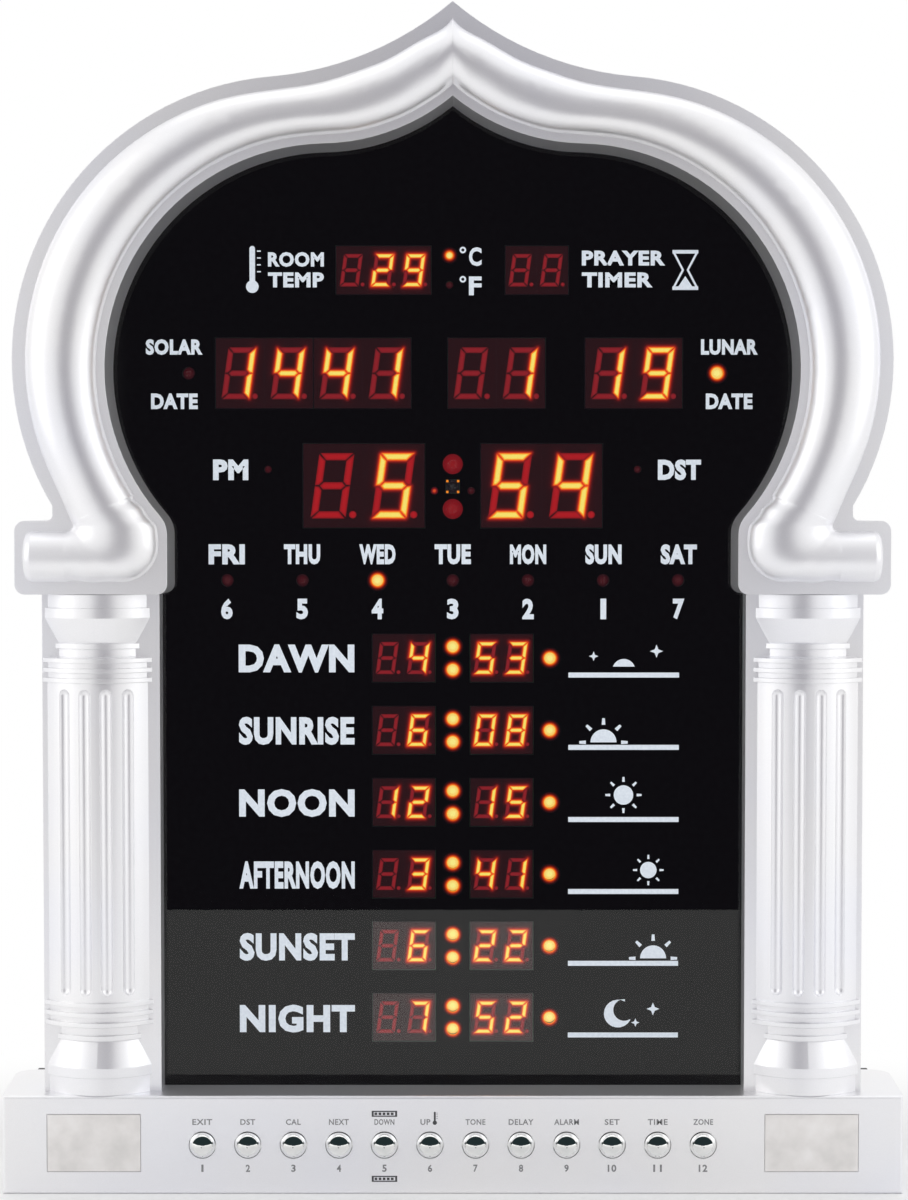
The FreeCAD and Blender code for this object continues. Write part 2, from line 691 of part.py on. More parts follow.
def arch_frame():
    """A hollow moulding: skirt, front face with the roll on it, and the lining of the opening."""
    front, back = -s.rim_depth, p.moulding_back
    panel_front = -s.fit_gap
    skirt = rounded_silhouette(front, back).cut(silhouette(s.shell_wall, front + s.shell_wall, back))
    lining = solid_between(opening(s.draft_run + s.shell_wall, p.foot_bottom), front, panel_front)
    frame = skirt.fuse(lining)
    below = p.foot_bottom - s.shell_wall
    wide = opening(s.draft_run, below)
    narrow = opening(0, below)
    wide.translate(Vector(0, front, 0))
    frame = frame.cut(Part.makeLoft([wide, narrow], True, True))
    frame = frame.cut(box(-SPARE, p.column_panel_half + s.fit_gap, panel_front, back, below,
                          p.foot_bottom + s.shell_wall)).removeSplitter()
    frame = frame.makeFillet(s.foot_corner, foot_edge(frame))
    for stretch in roll(0, SPARE):
        frame = frame.fuse(stretch)
    for hollow in roll(s.shell_wall, s.shell_wall + SPARE):
        frame = frame.cut(hollow)
    for across, height in arch_bosses():
        start = front - s.roll_rise + 0.7 * s.shell_wall
        boss = rod(across, height, s.post_width / 2, start, back)
        frame = frame.fuse(boss).cut(pilot(across, height))
    return both_sides(frame)


def foot_edge(frame):
    """The edge between the foot's inner side and its bottom, which leans with the draft."""
    found = []
    for edge in frame.Edges:
        middle = edge.CenterOfMass
        if (abs(middle.z - p.foot_bottom) < s.fit_gap and edge.Length > s.rim_depth / 2
                and abs(middle.x - p.opening_half - s.draft_run / 2) < s.draft_run):
            found.append(edge)
    return found


def arch_bosses():
    """Bosses for the rear cover's screws: two along each side of the arch and one in each foot."""
    places = [(outer_line.on_circle(angle) + opening_line.on_circle(angle)) * 0.5
              for angle in (math.radians(5), math.radians(50))]
    foot_x = (p.foot_out + p.opening_half) / 2 + s.roll_corner
    return [(place.x, place.z) for place in places] + [(foot_x, (p.foot_bottom + p.foot_top) / 2)]


def pilot(across, height):
    """The hole for a rear cover screw in a boss."""
    return rod(across, height, s.screw_pilot / 2, p.moulding_back - s.screw_length, p.moulding_back + SPARE)


# ---------------------------------------------------------------- columns

def column_radius(width):
    """Radius about the turning axis that is width across at the column plate."""
    return math.hypot(width / 2, s.column_axis_back)


def ring_steps(low):
    """Three narrow rings, one pitch apart, upwards from low."""
    steps = []
    for number in range(3):
        start = low + number * s.ring_pitch
        end = start + s.ring_thick
        steps += [(s.recess_width, start), (s.ring_width, start), (s.ring_width, end), (s.recess_width, end)]
    return steps


def column_profile():
    """The turned outline as (width, height) from the base up, with square steps."""
    bottom, top = s.base_height, p.foot_bottom - s.fit_gap
    band = bottom + s.plinth_height
    flare = band + s.band_height
    collar = flare + s.flare_height
    rings = p.shaft_low - s.ring_thick - 2 * s.ring_pitch
    neck = collar + s.collar_height
    steps = [(s.shaft_width, bottom), (s.shaft_width, band), (s.band_width, band), (s.band_width, flare),
             (s.waist_width, collar), (s.collar_width, collar), (s.collar_width, neck),
             (s.waist_width, neck), (s.waist_width, neck + s.neck_height)]
    steps += ring_steps(rings) + [(s.shaft_width, p.shaft_low), (s.shaft_width, p.shaft_high)]
    steps += ring_steps(p.shaft_high)
    abacus = top - s.abacus_height
    flare = abacus - s.band_height
    collar = flare - s.upper_flare_height
    neck = collar - s.collar_height
    return steps + [(s.waist_width, neck - s.neck_height), (s.waist_width, neck), (s.collar_width, neck),
                    (s.collar_width, collar), (s.waist_width, collar), (s.band_width, flare),
                    (s.band_width, abacus), (s.recess_width, abacus), (s.recess_width, top)]


def turned(steps, shrink, low, high):
    """The profile turned about the column's axis, thinner by shrink, between two heights."""
    axis_y = -s.column_plate_depth + s.column_axis_back
    outline = [(column_radius(width) - shrink, height) for width, height in steps]
    points = [(0, low)] + outline + [(0, high)]
    wire = Part.makePolygon([Vector(p.column_x, axis_y - radius, height) for radius, height in points]
                            + [Vector(p.column_x, axis_y, low)])
    return Part.Face(wire).revolve(Vector(p.column_x, axis_y, 0), UP, 360)


def flute(number):
    """One round-ended groove of the shaft."""
    radius = ((s.flute_width / 2) ** 2 + s.flute_depth ** 2) / (2 * s.flute_depth)
    reach = column_radius(s.shaft_width) + radius - s.flute_depth
    aside = (number - 1.5) * s.flute_pitch
    across = p.column_x + aside
    depth = -s.column_plate_depth + s.column_axis_back - math.sqrt(reach ** 2 - aside ** 2)
    low = p.shaft_low + s.flute_inset + s.flute_width / 2
    high = p.shaft_high - s.flute_inset - s.flute_width / 2
    groove = Part.makeCylinder(radius, high - low, Vector(across, depth, low), UP)
    return groove.fuse([Part.makeSphere(radius, Vector(across, depth, height)) for height in (low, high)])


def column_bosses():
    """Two bosses for the rear cover's screws, behind the column's two narrow necks."""
    low = s.base_height + s.plinth_height + s.band_height + s.flare_height + s.post_width / 2
    high = p.foot_bottom - s.abacus_height - s.band_height - s.upper_flare_height - s.post_width / 2
    return [(p.column_x, low), (p.column_x, high)]


def column():
    """The right column: a plate with side walls, and the turned and fluted shaft that bulges from it."""
    front, back = -s.column_plate_depth, p.moulding_back
    low, high = s.base_height, p.foot_bottom - s.fit_gap
    wall = s.shell_wall
    ahead = front - s.column_axis_back
    case = box(p.column_in, p.column_out, front, back, low, high)
    within = box(p.column_in, p.column_out, ahead, front + wall, low, high)
    bulge = turned(column_profile(), 0, low, high).common(within)
    hollow_steps = [(s.waist_width, low), (s.waist_width, p.shaft_low - 3 * s.ring_pitch),
                    (s.recess_width, p.shaft_low), (s.recess_width, p.shaft_high),
                    (s.waist_width, p.shaft_high + 3 * s.ring_pitch), (s.waist_width, high)]
    hollow = turned(hollow_steps, wall, low, high).common(within)
    solid = case.fuse(bulge).cut([flute(number) for number in range(4)])
    inside = box(p.column_in + wall, p.column_out - wall, front + wall, back, low, high)
    solid = solid.cut([inside, hollow])
    solid = solid.cut(box(0, p.column_panel_half + s.fit_gap, -s.fit_gap, back, low, high))
    for across, height in column_bosses():
        start = front + s.column_axis_back - column_radius(s.waist_width) + wall / 2
        boss = rod(across, height, s.post_width / 2, start, back)
        solid = solid.fuse(boss).cut(pilot(across, height))
    return solid.removeSplitter()


# ---------------------------------------------------------------- base

def base_plan(shrink):
    """The base's outline seen from above, with its walls pulled in by shrink."""
    front_half, back_half = p.base_half - s.base_taper - shrink, p.base_half - shrink
    front, back = -s.base_front + shrink, p.moulding_back
    corners = [Vector(front_half, front, 0), Vector(back_half, back, 0),
               Vector(-back_half, back, 0), Vector(-front_half, front, 0)]
    return Part.makePolygon(corners + corners[:1])


def upright_edges(shape, side):
    """The shape's upright edges ahead of the panel's front face, side -1, or behind it, side 1."""
    return [edge for edge in shape.Edges
            if abs(edge.tangentAt(edge.FirstParameter).z) > 0.99 and edge.CenterOfMass.y * side > 0]


def base_shell():
    """Front, top, sides and bottom, open at the back."""
    wall, high, corner = s.shell_wall, s.base_height, s.base_back_corner
    shell = Part.Face(base_plan(0)).extrude(UP * high)
    shell = shell.makeFillet(corner, upright_edges(shell, 1))
    foremost = -s.base_front + s.fit_gap
    shell = shell.makeFillet(s.base_front_corner,
                             [edge for edge in shell.Edges if edge.CenterOfMass.y < foremost])
    hollow = Part.Face(base_plan(wall)).extrude(UP * (high - 2 * wall))
    hollow.translate(UP * wall)
    hollow = hollow.makeFillet(corner - wall, upright_edges(hollow, 1))
    reach = p.base_half - 2 * corner
    back_gap = box(-reach, reach, p.moulding_back - corner, p.moulding_back + SPARE, wall, high - wall)
    return shell.cut([hollow, back_gap])


def base_bosses():
    """Bosses for the rear cover's screws: behind each nameplate, and low beside the button board."""
    beside = p.button_board_half + s.post_width + SPARE
    return [(side * across, height) for side in (-1, 1)
            for across, height in ((p.base_half - s.post_width - s.base_back_corner, p.button_z),
                                   (beside, s.shell_wall + 0.8 * s.post_width))]


def base_housing():
    """The base in one moulding, with what carries the panel, the buttons' board and the cover."""
    high, inside = s.base_height, -s.base_front + s.shell_wall / 2
    shell = base_shell()
    notch = p.column_panel_half + s.fit_gap
    shell = shell.cut(box(-notch, notch, -s.fit_gap, p.moulding_back + SPARE,
                          high - s.shell_wall - SPARE, high + SPARE))
    for across in (-s.ledge_x, s.ledge_x):
        half = s.ledge_width / 2
        shell = shell.fuse(box(across - half, across + half, inside, s.panel_thick,
                               p.panel_bottom - s.ledge_height, p.panel_bottom))
    for across, height in base_bosses():
        shell = shell.fuse(rod(across, height, s.post_width / 2, inside, p.moulding_back))
        shell = shell.cut(pilot(across, height))
    for across, height in button_board_posts():
        post = rod(across, height, s.small_post / 2, inside, p.switch_back)
        drilled = rod(across, height, s.small_pilot / 2, p.switch_back - s.small_screw_length,
                      p.switch_back + SPARE)
        shell = shell.fuse(post).cut(drilled)
    hole = s.button_width / 2 + s.button_hole_gap
    cuts = [rod(across, p.button_z, hole, -s.base_front - SPARE, -s.base_front + s.shell_wall + SPARE)
            for across in button_places()]
    half_width = s.nameplate_width / 2 + s.nameplate_recess
    half_height = s.nameplate_height / 2 + s.nameplate_recess
    cuts += [box(across - half_width, across + half_width, -s.base_front - SPARE, p.nameplate_floor,
                 p.nameplate_z - half_height, p.nameplate_z + half_height)
             for across in (-p.nameplate_x, p.nameplate_x)]
    return shell.cut(cuts).removeSplitter()


def nameplates():
    """A bare plate let into the base's front on each side."""
    for sign, word in (("-", "left"), ("", "right")):
        node = f"nameplate_{word}"
        plate = bound_block(node, f"{sign}Places.nameplate_x", "Sizes.nameplate_width",
                            "Places.nameplate_front", "Places.nameplate_floor",
                            "Places.nameplate_z", "Sizes.nameplate_height")
        keep(plate, node)


# ---------------------------------------------------------------- push buttons

# Posts of the buttons' board: pitches from the middle, and up or down.
BUTTON_BOARD_POSTS = [(-5, 1), (-2, -1), (2, -1), (5, 1)]


def button_places():
    return [(number - 5.5) * p.button_pitch for number in range(12)]


def button_board_posts():
    return [(number * p.button_pitch, p.button_z + sense * p.button_post_raise)
            for number, sense in BUTTON_BOARD_POSTS]


def push_button():
    """A domed cap with a flange and a stem, turned about the Y axis."""
    radius, flange, stem = s.button_width / 2, s.button_flange / 2, s.stem_width / 2
    shoulder = -s.base_front - s.button_collar
    dome = (radius ** 2 + s.button_dome ** 2) / (2 * s.button_dome)
    lean = math.asin(radius / dome) / 2
    crest = Vector(0, shoulder - s.button_dome, 0)
    middle = Vector(dome * math.sin(lean), crest.y + dome * (1 - math.cos(lean)), 0)
    edge = Vector(radius, shoulder, 0)
    corners = [edge, Vector(radius, p.flange_front, 0), Vector(flange, p.flange_front, 0),
               Vector(flange, p.flange_back, 0), Vector(stem, p.flange_back, 0), Vector(stem, p.stem_end, 0),
               Vector(0, p.stem_end, 0), crest]
    lines = [Part.makeLine(corners[number], corners[number + 1]) for number in range(len(corners) - 1)]
    wire = Part.Wire([Part.Arc(crest, middle, edge).toShape()] + lines)
    return Part.Face(wire).revolve(Vector(0, 0, 0), BACKWARD, 360)


def push_buttons():
    shape = push_button()
    for number, across in enumerate(button_places(), start=1):
        feature = coded(f"button_{number:02d}", shape)
        feature.Placement = Placement(Vector(across, 0, p.button_z), Rotation())


def tact_switches():
    """A square switch behind each button, with a bore that its stem works in."""
    half, bore = s.switch_side / 2, s.stem_width / 2 + s.button_gap
    depth = s.stem_reach + s.button_travel + s.button_gap
    switches = []
    for across in button_places():
        body = box(across - half, across + half, p.switch_front, p.switch_back,
                   p.button_z - half, p.button_z + half)
        drilled = rod(across, p.button_z, bore, p.switch_front - SPARE, p.switch_front + depth)
        switches.append(body.cut(drilled))
    return Part.makeCompound(switches)


# ---------------------------------------------------------------- boards

def board(node, front, sides, holes, hole_width):
    """A circuit board: a rectangle of left, right, low and high expressions, with round holes."""
    owner = keep(doc.addObject("PartDesign::Body", node), node)
    outline = sketch_at(owner, "Outline", front)
    rectangle(outline, *sides)
    blank = pad(owner, outline, "Sizes.board_thick")
    volume = blank.Shape.Volume
    drill = sketch_at(owner, "Holes", front)
    for across, height in holes:
        circle(drill, across, height, hole_width)
    pocket_through(owner, drill)
    if not owner.Shape.Volume < volume:
        raise RuntimeError(f"the holes of {node} cut nothing")


def button_board():
    half = "Places.button_board_half"
    sides = (f"-{half}", half, "Places.button_z - Sizes.button_board_height / 2",
             "Places.button_z + Sizes.button_board_height / 2")
    holes = [(f"{number} * Places.button_pitch", f"Places.button_z + {sense} * Places.button_post_raise")
             for number, sense in BUTTON_BOARD_POSTS]
    board("button_board", "Places.switch_back", sides, holes, "Sizes.small_hole")


# Posts of the rear cover for the two boards, as expressions across and in height.
BESIDE = "Places.board_half - Sizes.post_width - Sizes.board_thick"
DISPLAY_POSTS = [(f"{sign}({across})", height) for sign in ("-", "") for across, height in (
    (BESIDE, "Places.board_bottom + 2 * Sizes.post_width"),
    (BESIDE, "(Places.weekday_z + Places.prayer_z) / 2"),
    (BESIDE, "(Places.time_z + Places.date_z) / 2"),
    ("Places.board_half / 2", "Places.board_top - Sizes.post_width"))]
MAIN_POSTS = [(f"{sign}Places.main_post_x", height) for sign in ("-", "") for height in (
    "Places.main_low + Sizes.main_post_inset", "Places.main_high - Sizes.main_post_inset")]


def numbers(places):
    return [(value_of(across), value_of(height)) for across, height in places]


def display_board():
    half = "Places.board_half"
    sides = (f"-{half}", half, "Places.board_bottom", "Places.board_top")
    board("display_board", "Places.board_front", sides, DISPLAY_POSTS, "Sizes.screw_hole")


def main_board():
    half = "Sizes.main_board_width / 2"
    board("main_board", "Places.main_front", (f"-{half}", half, "Places.main_low", "Places.main_high"),
          MAIN_POSTS, "Sizes.screw_hole")


# ---------------------------------------------------------------- display

def panel_outline(shrink):
    """Right half of the panel: it reaches behind the arch's walls, then widens below the feet."""
    foot_half, column_half = p.foot_panel_half - shrink, p.column_panel_half - shrink
    step, bottom = p.foot_bottom - s.fit_gap - shrink, p.panel_bottom + shrink
    return chain(opening_edges(s.panel_lip - shrink),
                 [(0, bottom), (column_half, bottom), (column_half, step), (foot_half, step)])


def prayer_rows():
    return [f"(Places.prayer_z - {number} * Sizes.prayer_pitch)" for number in range(6)]


def modules():
    """Every digit module as expressions: node, centre across, width, centre height, tall."""
    placed = [("digits_time", f"{sign}(Sizes.time_gap + Sizes.large_width) / 2", "large", "Places.time_z")
              for sign in ("-", "")]
    half_pair = "(Sizes.middle_width + Sizes.window_gap) / 2"
    placed += [("digits_date", across, "middle", "Places.date_z")
               for across in (f"Places.year_x - {half_pair}", f"Places.year_x + {half_pair}",
                              "Places.month_x", "Places.day_x")]
    placed.append(("digits_countdown", "Sizes.countdown_x", "small", "Places.readout_z"))
    placed += [("digits_prayer", f"{sign}(Sizes.prayer_gap + Sizes.small_width) / 2", "small", height)
               for height in prayer_rows() for sign in ("-", "")]
    sized = [(node, across, f"Sizes.{size}_width", height, f"Sizes.{size}_height")
             for node, across, size, height in placed]
    return sized + [("digits_temperature", "Sizes.temperature_x", "Sizes.triple_width", "Places.readout_z",
                     "Sizes.small_height")]


def lamps():
    """Every round lamp: node, centre across, centre height, width."""
    middle, small = s.lamp_middle, s.lamp_small
    placed = [("lamps_time_colon", 0, p.time_z - s.window_gap + rise, s.lamp_large)
              for rise in (s.colon_raise, -s.colon_raise)]
    placed += [("lamps_weekday", number * p.weekday_pitch, p.weekday_z, middle) for number in range(-3, 4)]
    placed += [("lamps_calendar", across, p.date_z, middle)
               for across in (-p.calendar_lamp_x, p.calendar_lamp_x)]
    placed += [("lamps_status", across, p.time_z + s.side_lamp_raise, small)
               for across in (-s.side_lamp_x, s.side_lamp_x)]
    placed += [("lamps_status", across, p.time_z - s.sensor_drop, small)
               for across in (-s.sensor_x, s.sensor_x)]
    placed += [("lamps_status", s.unit_lamp_x, p.readout_z + rise, small)
               for rise in (s.unit_lamp_raise, -s.unit_lamp_raise)]
    for row in prayer_rows():
        height = value_of(row)
        placed += [("lamps_prayer_colon", 0, height + rise, middle)
                   for rise in (s.prayer_colon_raise, -s.prayer_colon_raise)]
        placed.append(("lamps_prayer", s.prayer_lamp_x, height, middle))
    return placed


def lamp(across, height, width):
    """A round lamp with a domed end towards the panel and a flange on the board."""
    radius = width / 2
    body = rod(across, height, radius, p.face_front + radius, p.board_front)
    dome = Part.makeSphere(radius, Vector(across, p.face_front + radius, height))
    flange = rod(across, height, radius + s.lamp_flange, p.board_front - SPARE, p.board_front)
    return body.fuse([dome, flange])


def remote_receiver():
    """The infrared receiver between the lamps of the time's colon: a square can with a domed window."""
    half = s.receiver_side / 2
    height, front = p.time_z - s.window_gap, p.face_front + half
    can = box(-half, half, front, p.board_front, height - half, height + half)
    return can.fuse(Part.makeSphere(0.8 * half, Vector(0, front, height)))


def panel_mask():
    """The black film behind the panel, with a window for each module, lamp and receiver."""
    film = both_sides(solid_between(panel_outline(s.mask_inset), s.panel_thick, p.mask_back))
    front, back, margin = s.panel_thick - SPARE, p.mask_back + SPARE, s.window_gap
    windows = []
    for _, *place in modules():
        across, width, height, tall = (value_of(expression) for expression in place)
        windows.append(box(across - width / 2 - margin, across + width / 2 + margin, front, back,
                           height - tall / 2 - margin, height + tall / 2 + margin))
    windows += [rod(across, height, width / 2, front, back) for _, across, height, width in lamps()]
    half = s.receiver_side / 2 + margin
    windows.append(box(-half, half, front, back, p.time_z - margin - half, p.time_z - margin + half))
    return film.cut(windows)


def digits_and_lamps():
    groups = {}
    for node, across, width, height, tall in modules():
        block = bound_block("module", across, width, "Places.face_front", "Places.board_front", height, tall)
        groups.setdefault(node, []).append(block)
    for node, features in groups.items():
        gathered(node, features)
    groups = {}
    for node, *place in lamps():
        groups.setdefault(node, []).append(lamp(*place))
    for node, solids in groups.items():
        coded(node, Part.makeCompound(solids))


def driver_chips():
    """Two columns of driver chips on the back of the display board, one row to each block of digits."""
    across = "Places.board_half * 0.7"
    heights = ("Places.date_z", "Places.time_z", "(Places.prayer_z - Sizes.prayer_pitch / 2)",
               "(Places.prayer_z - 2.5 * Sizes.prayer_pitch)")
    gathered("driver_chips", [
        bound_block("driver", f"{sign}{across}", "Sizes.small_chip_width", "Places.board_back",
                    "Places.board_back + Sizes.chip_thick", height, "Sizes.small_chip_height")
        for height in heights for sign in ("-", "")])


# ---------------------------------------------------------------- rear cover

def keyhole(side):
    """A round entry with a slot above it, for a screw in the wall."""
    across, slot = side * s.keyhole_spacing / 2, s.keyhole_slot / 2
    front, back, top = p.cover_front - SPARE, s.case_back + SPARE, p.keyhole_z + s.keyhole_rise
    entry = rod(across, p.keyhole_z, s.keyhole_entry / 2, front, back)
    return entry.fuse([box(across - slot, across + slot, front, back, p.keyhole_z, top),
                       rod(across, top, slot, front, back)])


def grille():
    """Slots behind the speaker, as wide as its cone allows at each height."""
    radius = s.speaker_width / 2 - s.speaker_flange - s.grille_slot
    count = math.floor((radius - s.grille_slot) / s.grille_pitch)
    slots = []
    for number in range(-count, count + 1):
        rise = number * s.grille_pitch
        half = math.sqrt(radius ** 2 - rise ** 2)
        slots.append(box(-half, half, p.cover_front - SPARE, s.case_back + SPARE,
                         p.speaker_z + rise - s.grille_slot / 2, p.speaker_z + rise + s.grille_slot / 2))
    return slots


def vents():
    """Seven upright slots on each side of the main board."""
    places = [side * (s.vent_x + number * s.grille_pitch) for side in (-1, 1) for number in range(7)]
    low, high = p.main_middle - s.vent_height / 2, p.main_middle + s.vent_height / 2
    return [box(across - s.grille_slot / 2, across + s.grille_slot / 2, p.cover_front - SPARE,
                s.case_back + SPARE, low, high) for across in places]


def speaker_posts():
    reach = (s.speaker_width + s.post_width) / 2 + s.fit_gap
    angles = [math.radians(45 + 90 * quarter) for quarter in range(4)]
    return [(reach * math.cos(angle), p.speaker_z + reach * math.sin(angle)) for angle in angles]


def cover_screw_places():
    right = arch_bosses() + column_bosses()
    return [(side * across, height) for across, height in right for side in (-1, 1)] + base_bosses()


def rear_cover():
    """A flat cover of the clock's whole outline, with posts for the boards and the speaker."""
    front, back = p.cover_front, s.case_back
    half = rounded_silhouette(front, back)
    half = half.fuse([box(0, p.column_out, front, back, s.base_height - SPARE, p.foot_bottom + SPARE),
                      box(0, p.base_half - s.base_back_corner, front, back, 0, s.base_height)])
    display_posts, main_posts = numbers(DISPLAY_POSTS), numbers(MAIN_POSTS)
    ends = [(place, p.board_back) for place in display_posts]
    ends += [(place, p.main_back) for place in main_posts]
    ends += [(place, front - s.speaker_flange) for place in speaker_posts()]
    cover = both_sides(half).fuse([rod(*place, s.post_width / 2, end, front + SPARE) for place, end in ends])
    floor = back - s.cover_thick / 3
    cuts = [rod(*place, s.screw_pilot / 2, p.board_back - SPARE, p.board_back + s.screw_length)
            for place in display_posts]
    cuts += [rod(*place, s.screw_pilot / 2, p.main_back - SPARE, floor) for place in main_posts]
    cuts += [rod(*place, s.small_pilot / 2, front - s.speaker_flange - SPARE, floor)
             for place in speaker_posts()]
    for place in cover_screw_places():
        cuts.append(rod(*place, s.screw_hole / 2, front - SPARE, back + SPARE))
        cuts.append(rod(*place, s.screw_head / 2 + s.window_gap, back - s.screw_sink, back + SPARE))
    half_inlet = s.inlet_side / 2 + s.button_gap
    cuts.append(box(p.inlet_x - half_inlet, p.inlet_x + half_inlet, front - SPARE, back + SPARE,
                    p.inlet_z - half_inlet, p.inlet_z + half_inlet))
    return cover.cut(cuts + grille() + vents() + [keyhole(-1), keyhole(1)]).removeSplitter()


# ---------------------------------------------------------------- speaker

def turned_about_speaker(points):
    """A profile of (radius, depth) turned about the speaker's axis."""
    wire = Part.makePolygon([Vector(radius, depth, p.speaker_z) for radius, depth in points + points[:1]])
    return Part.Face(wire).revolve(Vector(0, 0, p.speaker_z), BACKWARD, 360)


def basket_radius(depth):
    """Outside radius of the speaker's basket between its magnet and its flange."""
    front, back = p.magnet_back, p.cover_front - s.speaker_flange
    narrow, wide = s.magnet_width / 2 + s.speaker_sheet, s.speaker_width / 2 - 4 * s.speaker_sheet
    return narrow + (wide - narrow) * (depth - front) / (back - front)


def speaker():
    """Basket, cone and magnet; the flange lies on the rear cover."""
    rim, back, sheet = s.speaker_width / 2, p.cover_front, s.speaker_sheet
    flange, coil, magnet = back - s.speaker_flange, s.voice_coil / 2, p.magnet_back
    narrow, wide = basket_radius(magnet), basket_radius(flange)
    basket = [(rim, back), (rim, flange), (wide, flange), (narrow, magnet), (coil, magnet),
              (coil, magnet + sheet), (narrow - sheet, magnet + sheet), (wide - sheet, back)]
    coded("speaker_frame", turned_about_speaker(basket))
    edge, face, thick = wide - 2 * sheet, back - s.window_gap, s.cone_sheet
    apex, dome = face - 0.7 * (face - magnet), face - 0.5 * (face - magnet)
    cone = [(edge, face), (edge, face - thick), (coil, apex), (coil, apex - thick), (0, dome - thick),
            (0, dome), (coil - thick, apex + thick / 2)]
    coded("speaker_cone", turned_about_speaker(cone))
    keep(bound_rod("speaker_magnet", "0", "Places.speaker_z", "Sizes.magnet_width",
                   "Places.magnet_back - Sizes.magnet_depth", "Places.magnet_back"), "speaker_magnet")


def speaker_leads():
    """Two straight wires from the main board's upper edge to the basket."""
    radius, depth = s.lead_width / 2, (p.main_front + p.main_back) / 2
    top = p.speaker_z - basket_radius(depth + radius) - s.fit_gap
    starts = [Vector(side * s.lead_spacing / 2, depth, p.main_high) for side in (-1, 1)]
    return Part.makeCompound([Part.makeCylinder(radius, top - p.main_high, start, UP) for start in starts])


# ---------------------------------------------------------------- control and power

def power_inlet():
    """The barrel socket on the main board, just below the rear cover's face, and its pin."""
    mouth = "Sizes.case_back - Sizes.inlet_sink"
    floor = "Places.main_back + Sizes.inlet_floor"
    shell = doc.addObject("Part::Cut", "power_inlet")
    shell.Base = bound_block("inlet_block", "Places.inlet_x", "Sizes.inlet_side", "Places.main_back", mouth,
                             "Places.inlet_z", "Sizes.inlet_side")
    shell.Tool = bound_rod("inlet_bore", "Places.inlet_x", "Places.inlet_z", "Sizes.inlet_bore", floor,
                           f"{mouth} + 1")
    keep(shell, "power_inlet")
    pin = bound_rod("power_inlet_pin", "Places.inlet_x", "Places.inlet_z", "Sizes.inlet_pin", floor,
                    f"{mouth} - Sizes.inlet_floor")
    keep(pin, "power_inlet_pin")


def chips():
    """The processor and the melody chip ahead of the main board, and the sensor behind the buttons' board."""
    top = "Places.main_front - Sizes.chip_thick"
    processor = bound_block("microcontroller", "-1.9 * Sizes.chip_side", "Sizes.chip_side", top,
                            "Places.main_front", "Places.main_middle", "Sizes.chip_side")
    keep(processor, "microcontroller")
    melody = bound_block("melody_chip", "1.9 * Sizes.chip_side", "Sizes.small_chip_width", top,
                         "Places.main_front", "Places.main_middle + Sizes.small_chip_height",
                         "Sizes.small_chip_height")
    keep(melody, "melody_chip")
    sensor = bound_block("temperature_sensor", "-(Places.button_board_half - Sizes.header_height)",
                         "Sizes.header_depth", "Places.button_board_back",
                         "Places.button_board_back + Sizes.header_depth", "Places.button_z",
                         "Sizes.header_height")
    keep(sensor, "temperature_sensor")


def backup_cell():
    """The coin cell that keeps the time, and its holder with two clips, ahead of the main board."""
    seat, height = p.main_front - s.speaker_sheet, p.main_middle - s.main_post_inset
    reach, half = s.cell_width / 2 + s.speaker_sheet, s.cell_width / 5
    plate = box(-reach, reach, seat, p.main_front, height - reach, height + reach)
    clip = box(s.cell_width / 2 + s.fit_gap, reach, seat - s.cell_thick / 2, seat,
               height - half, height + half)
    coded("cell_holder", plate.fuse([clip, mirrored(clip)]).removeSplitter())
    cell = bound_rod("backup_cell", "0", "Places.main_middle - Sizes.main_post_inset", "Sizes.cell_width",
                     "Places.main_front - Sizes.speaker_sheet - Sizes.cell_thick",
                     "Places.main_front - Sizes.speaker_sheet")
    keep(cell, "backup_cell")


def capacitors():
    """Two electrolytic capacitors that lie on the back of the main board."""
    radius, height = s.capacitor_width / 2, p.main_high - 3 * s.capacitor_width
    starts = [Vector(left, p.main_back + radius, height)
              for left in (-2.5 * s.capacitor_length, s.capacitor_length)]
    return Part.makeCompound([Part.makeCylinder(radius, s.capacitor_length, start, Vector(1, 0, 0))
                              for start in starts])


def ribbon(node, points, across):
    """A flat cable, bent along (depth, height) points, centred on across."""
    left = across - s.ribbon_width / 2
    path = Part.makePolygon([Vector(left, depth, height) for depth, height in points])
    strip = path.makeOffset2D(s.ribbon_thick, 0, True, True)
    coded(node, strip.extrude(Vector(s.ribbon_width, 0, 0)))


def header(across, front, back, height):
    return bound_block("header", across, "Sizes.header_width", front, back, height, "Sizes.header_height")


def ribbons_and_headers():
    """Two ribbons with a header at each end: main board to display board, and main board to buttons."""
    main_face = ("Places.main_front - Sizes.header_depth", "Places.main_front")
    middle = p.main_front - s.header_depth / 2
    low, rise = p.main_high - s.ribbon_thick, s.ribbon_gap / 3
    gathered("display_headers", [
        header("0", *main_face, "Places.main_high - Sizes.ribbon_thick - Sizes.header_height / 2"),
        header("0", "Places.board_back", "Places.board_back + Sizes.header_depth",
               "Places.main_high - Sizes.ribbon_thick + Sizes.ribbon_gap + Sizes.header_height / 2")])
    ahead = p.board_back + s.header_depth / 2
    ribbon("display_ribbon", [(middle, low), (middle, low + rise), (ahead, low + 2 * rise),
                              (ahead, low + s.ribbon_gap)], 0)
    gathered("button_headers", [
        header("Places.button_header_x", *main_face, "Places.main_low + Sizes.header_height / 2"),
        header("Places.button_header_x", "Places.button_board_back",
               "Places.button_board_back + Sizes.header_depth", "Places.button_z")])
    start = p.button_board_back + s.header_depth
    ribbon("button_ribbon", [(start, p.button_z), (middle, p.button_z), (middle, p.main_low)],
           p.button_header_x)


# ---------------------------------------------------------------- screws

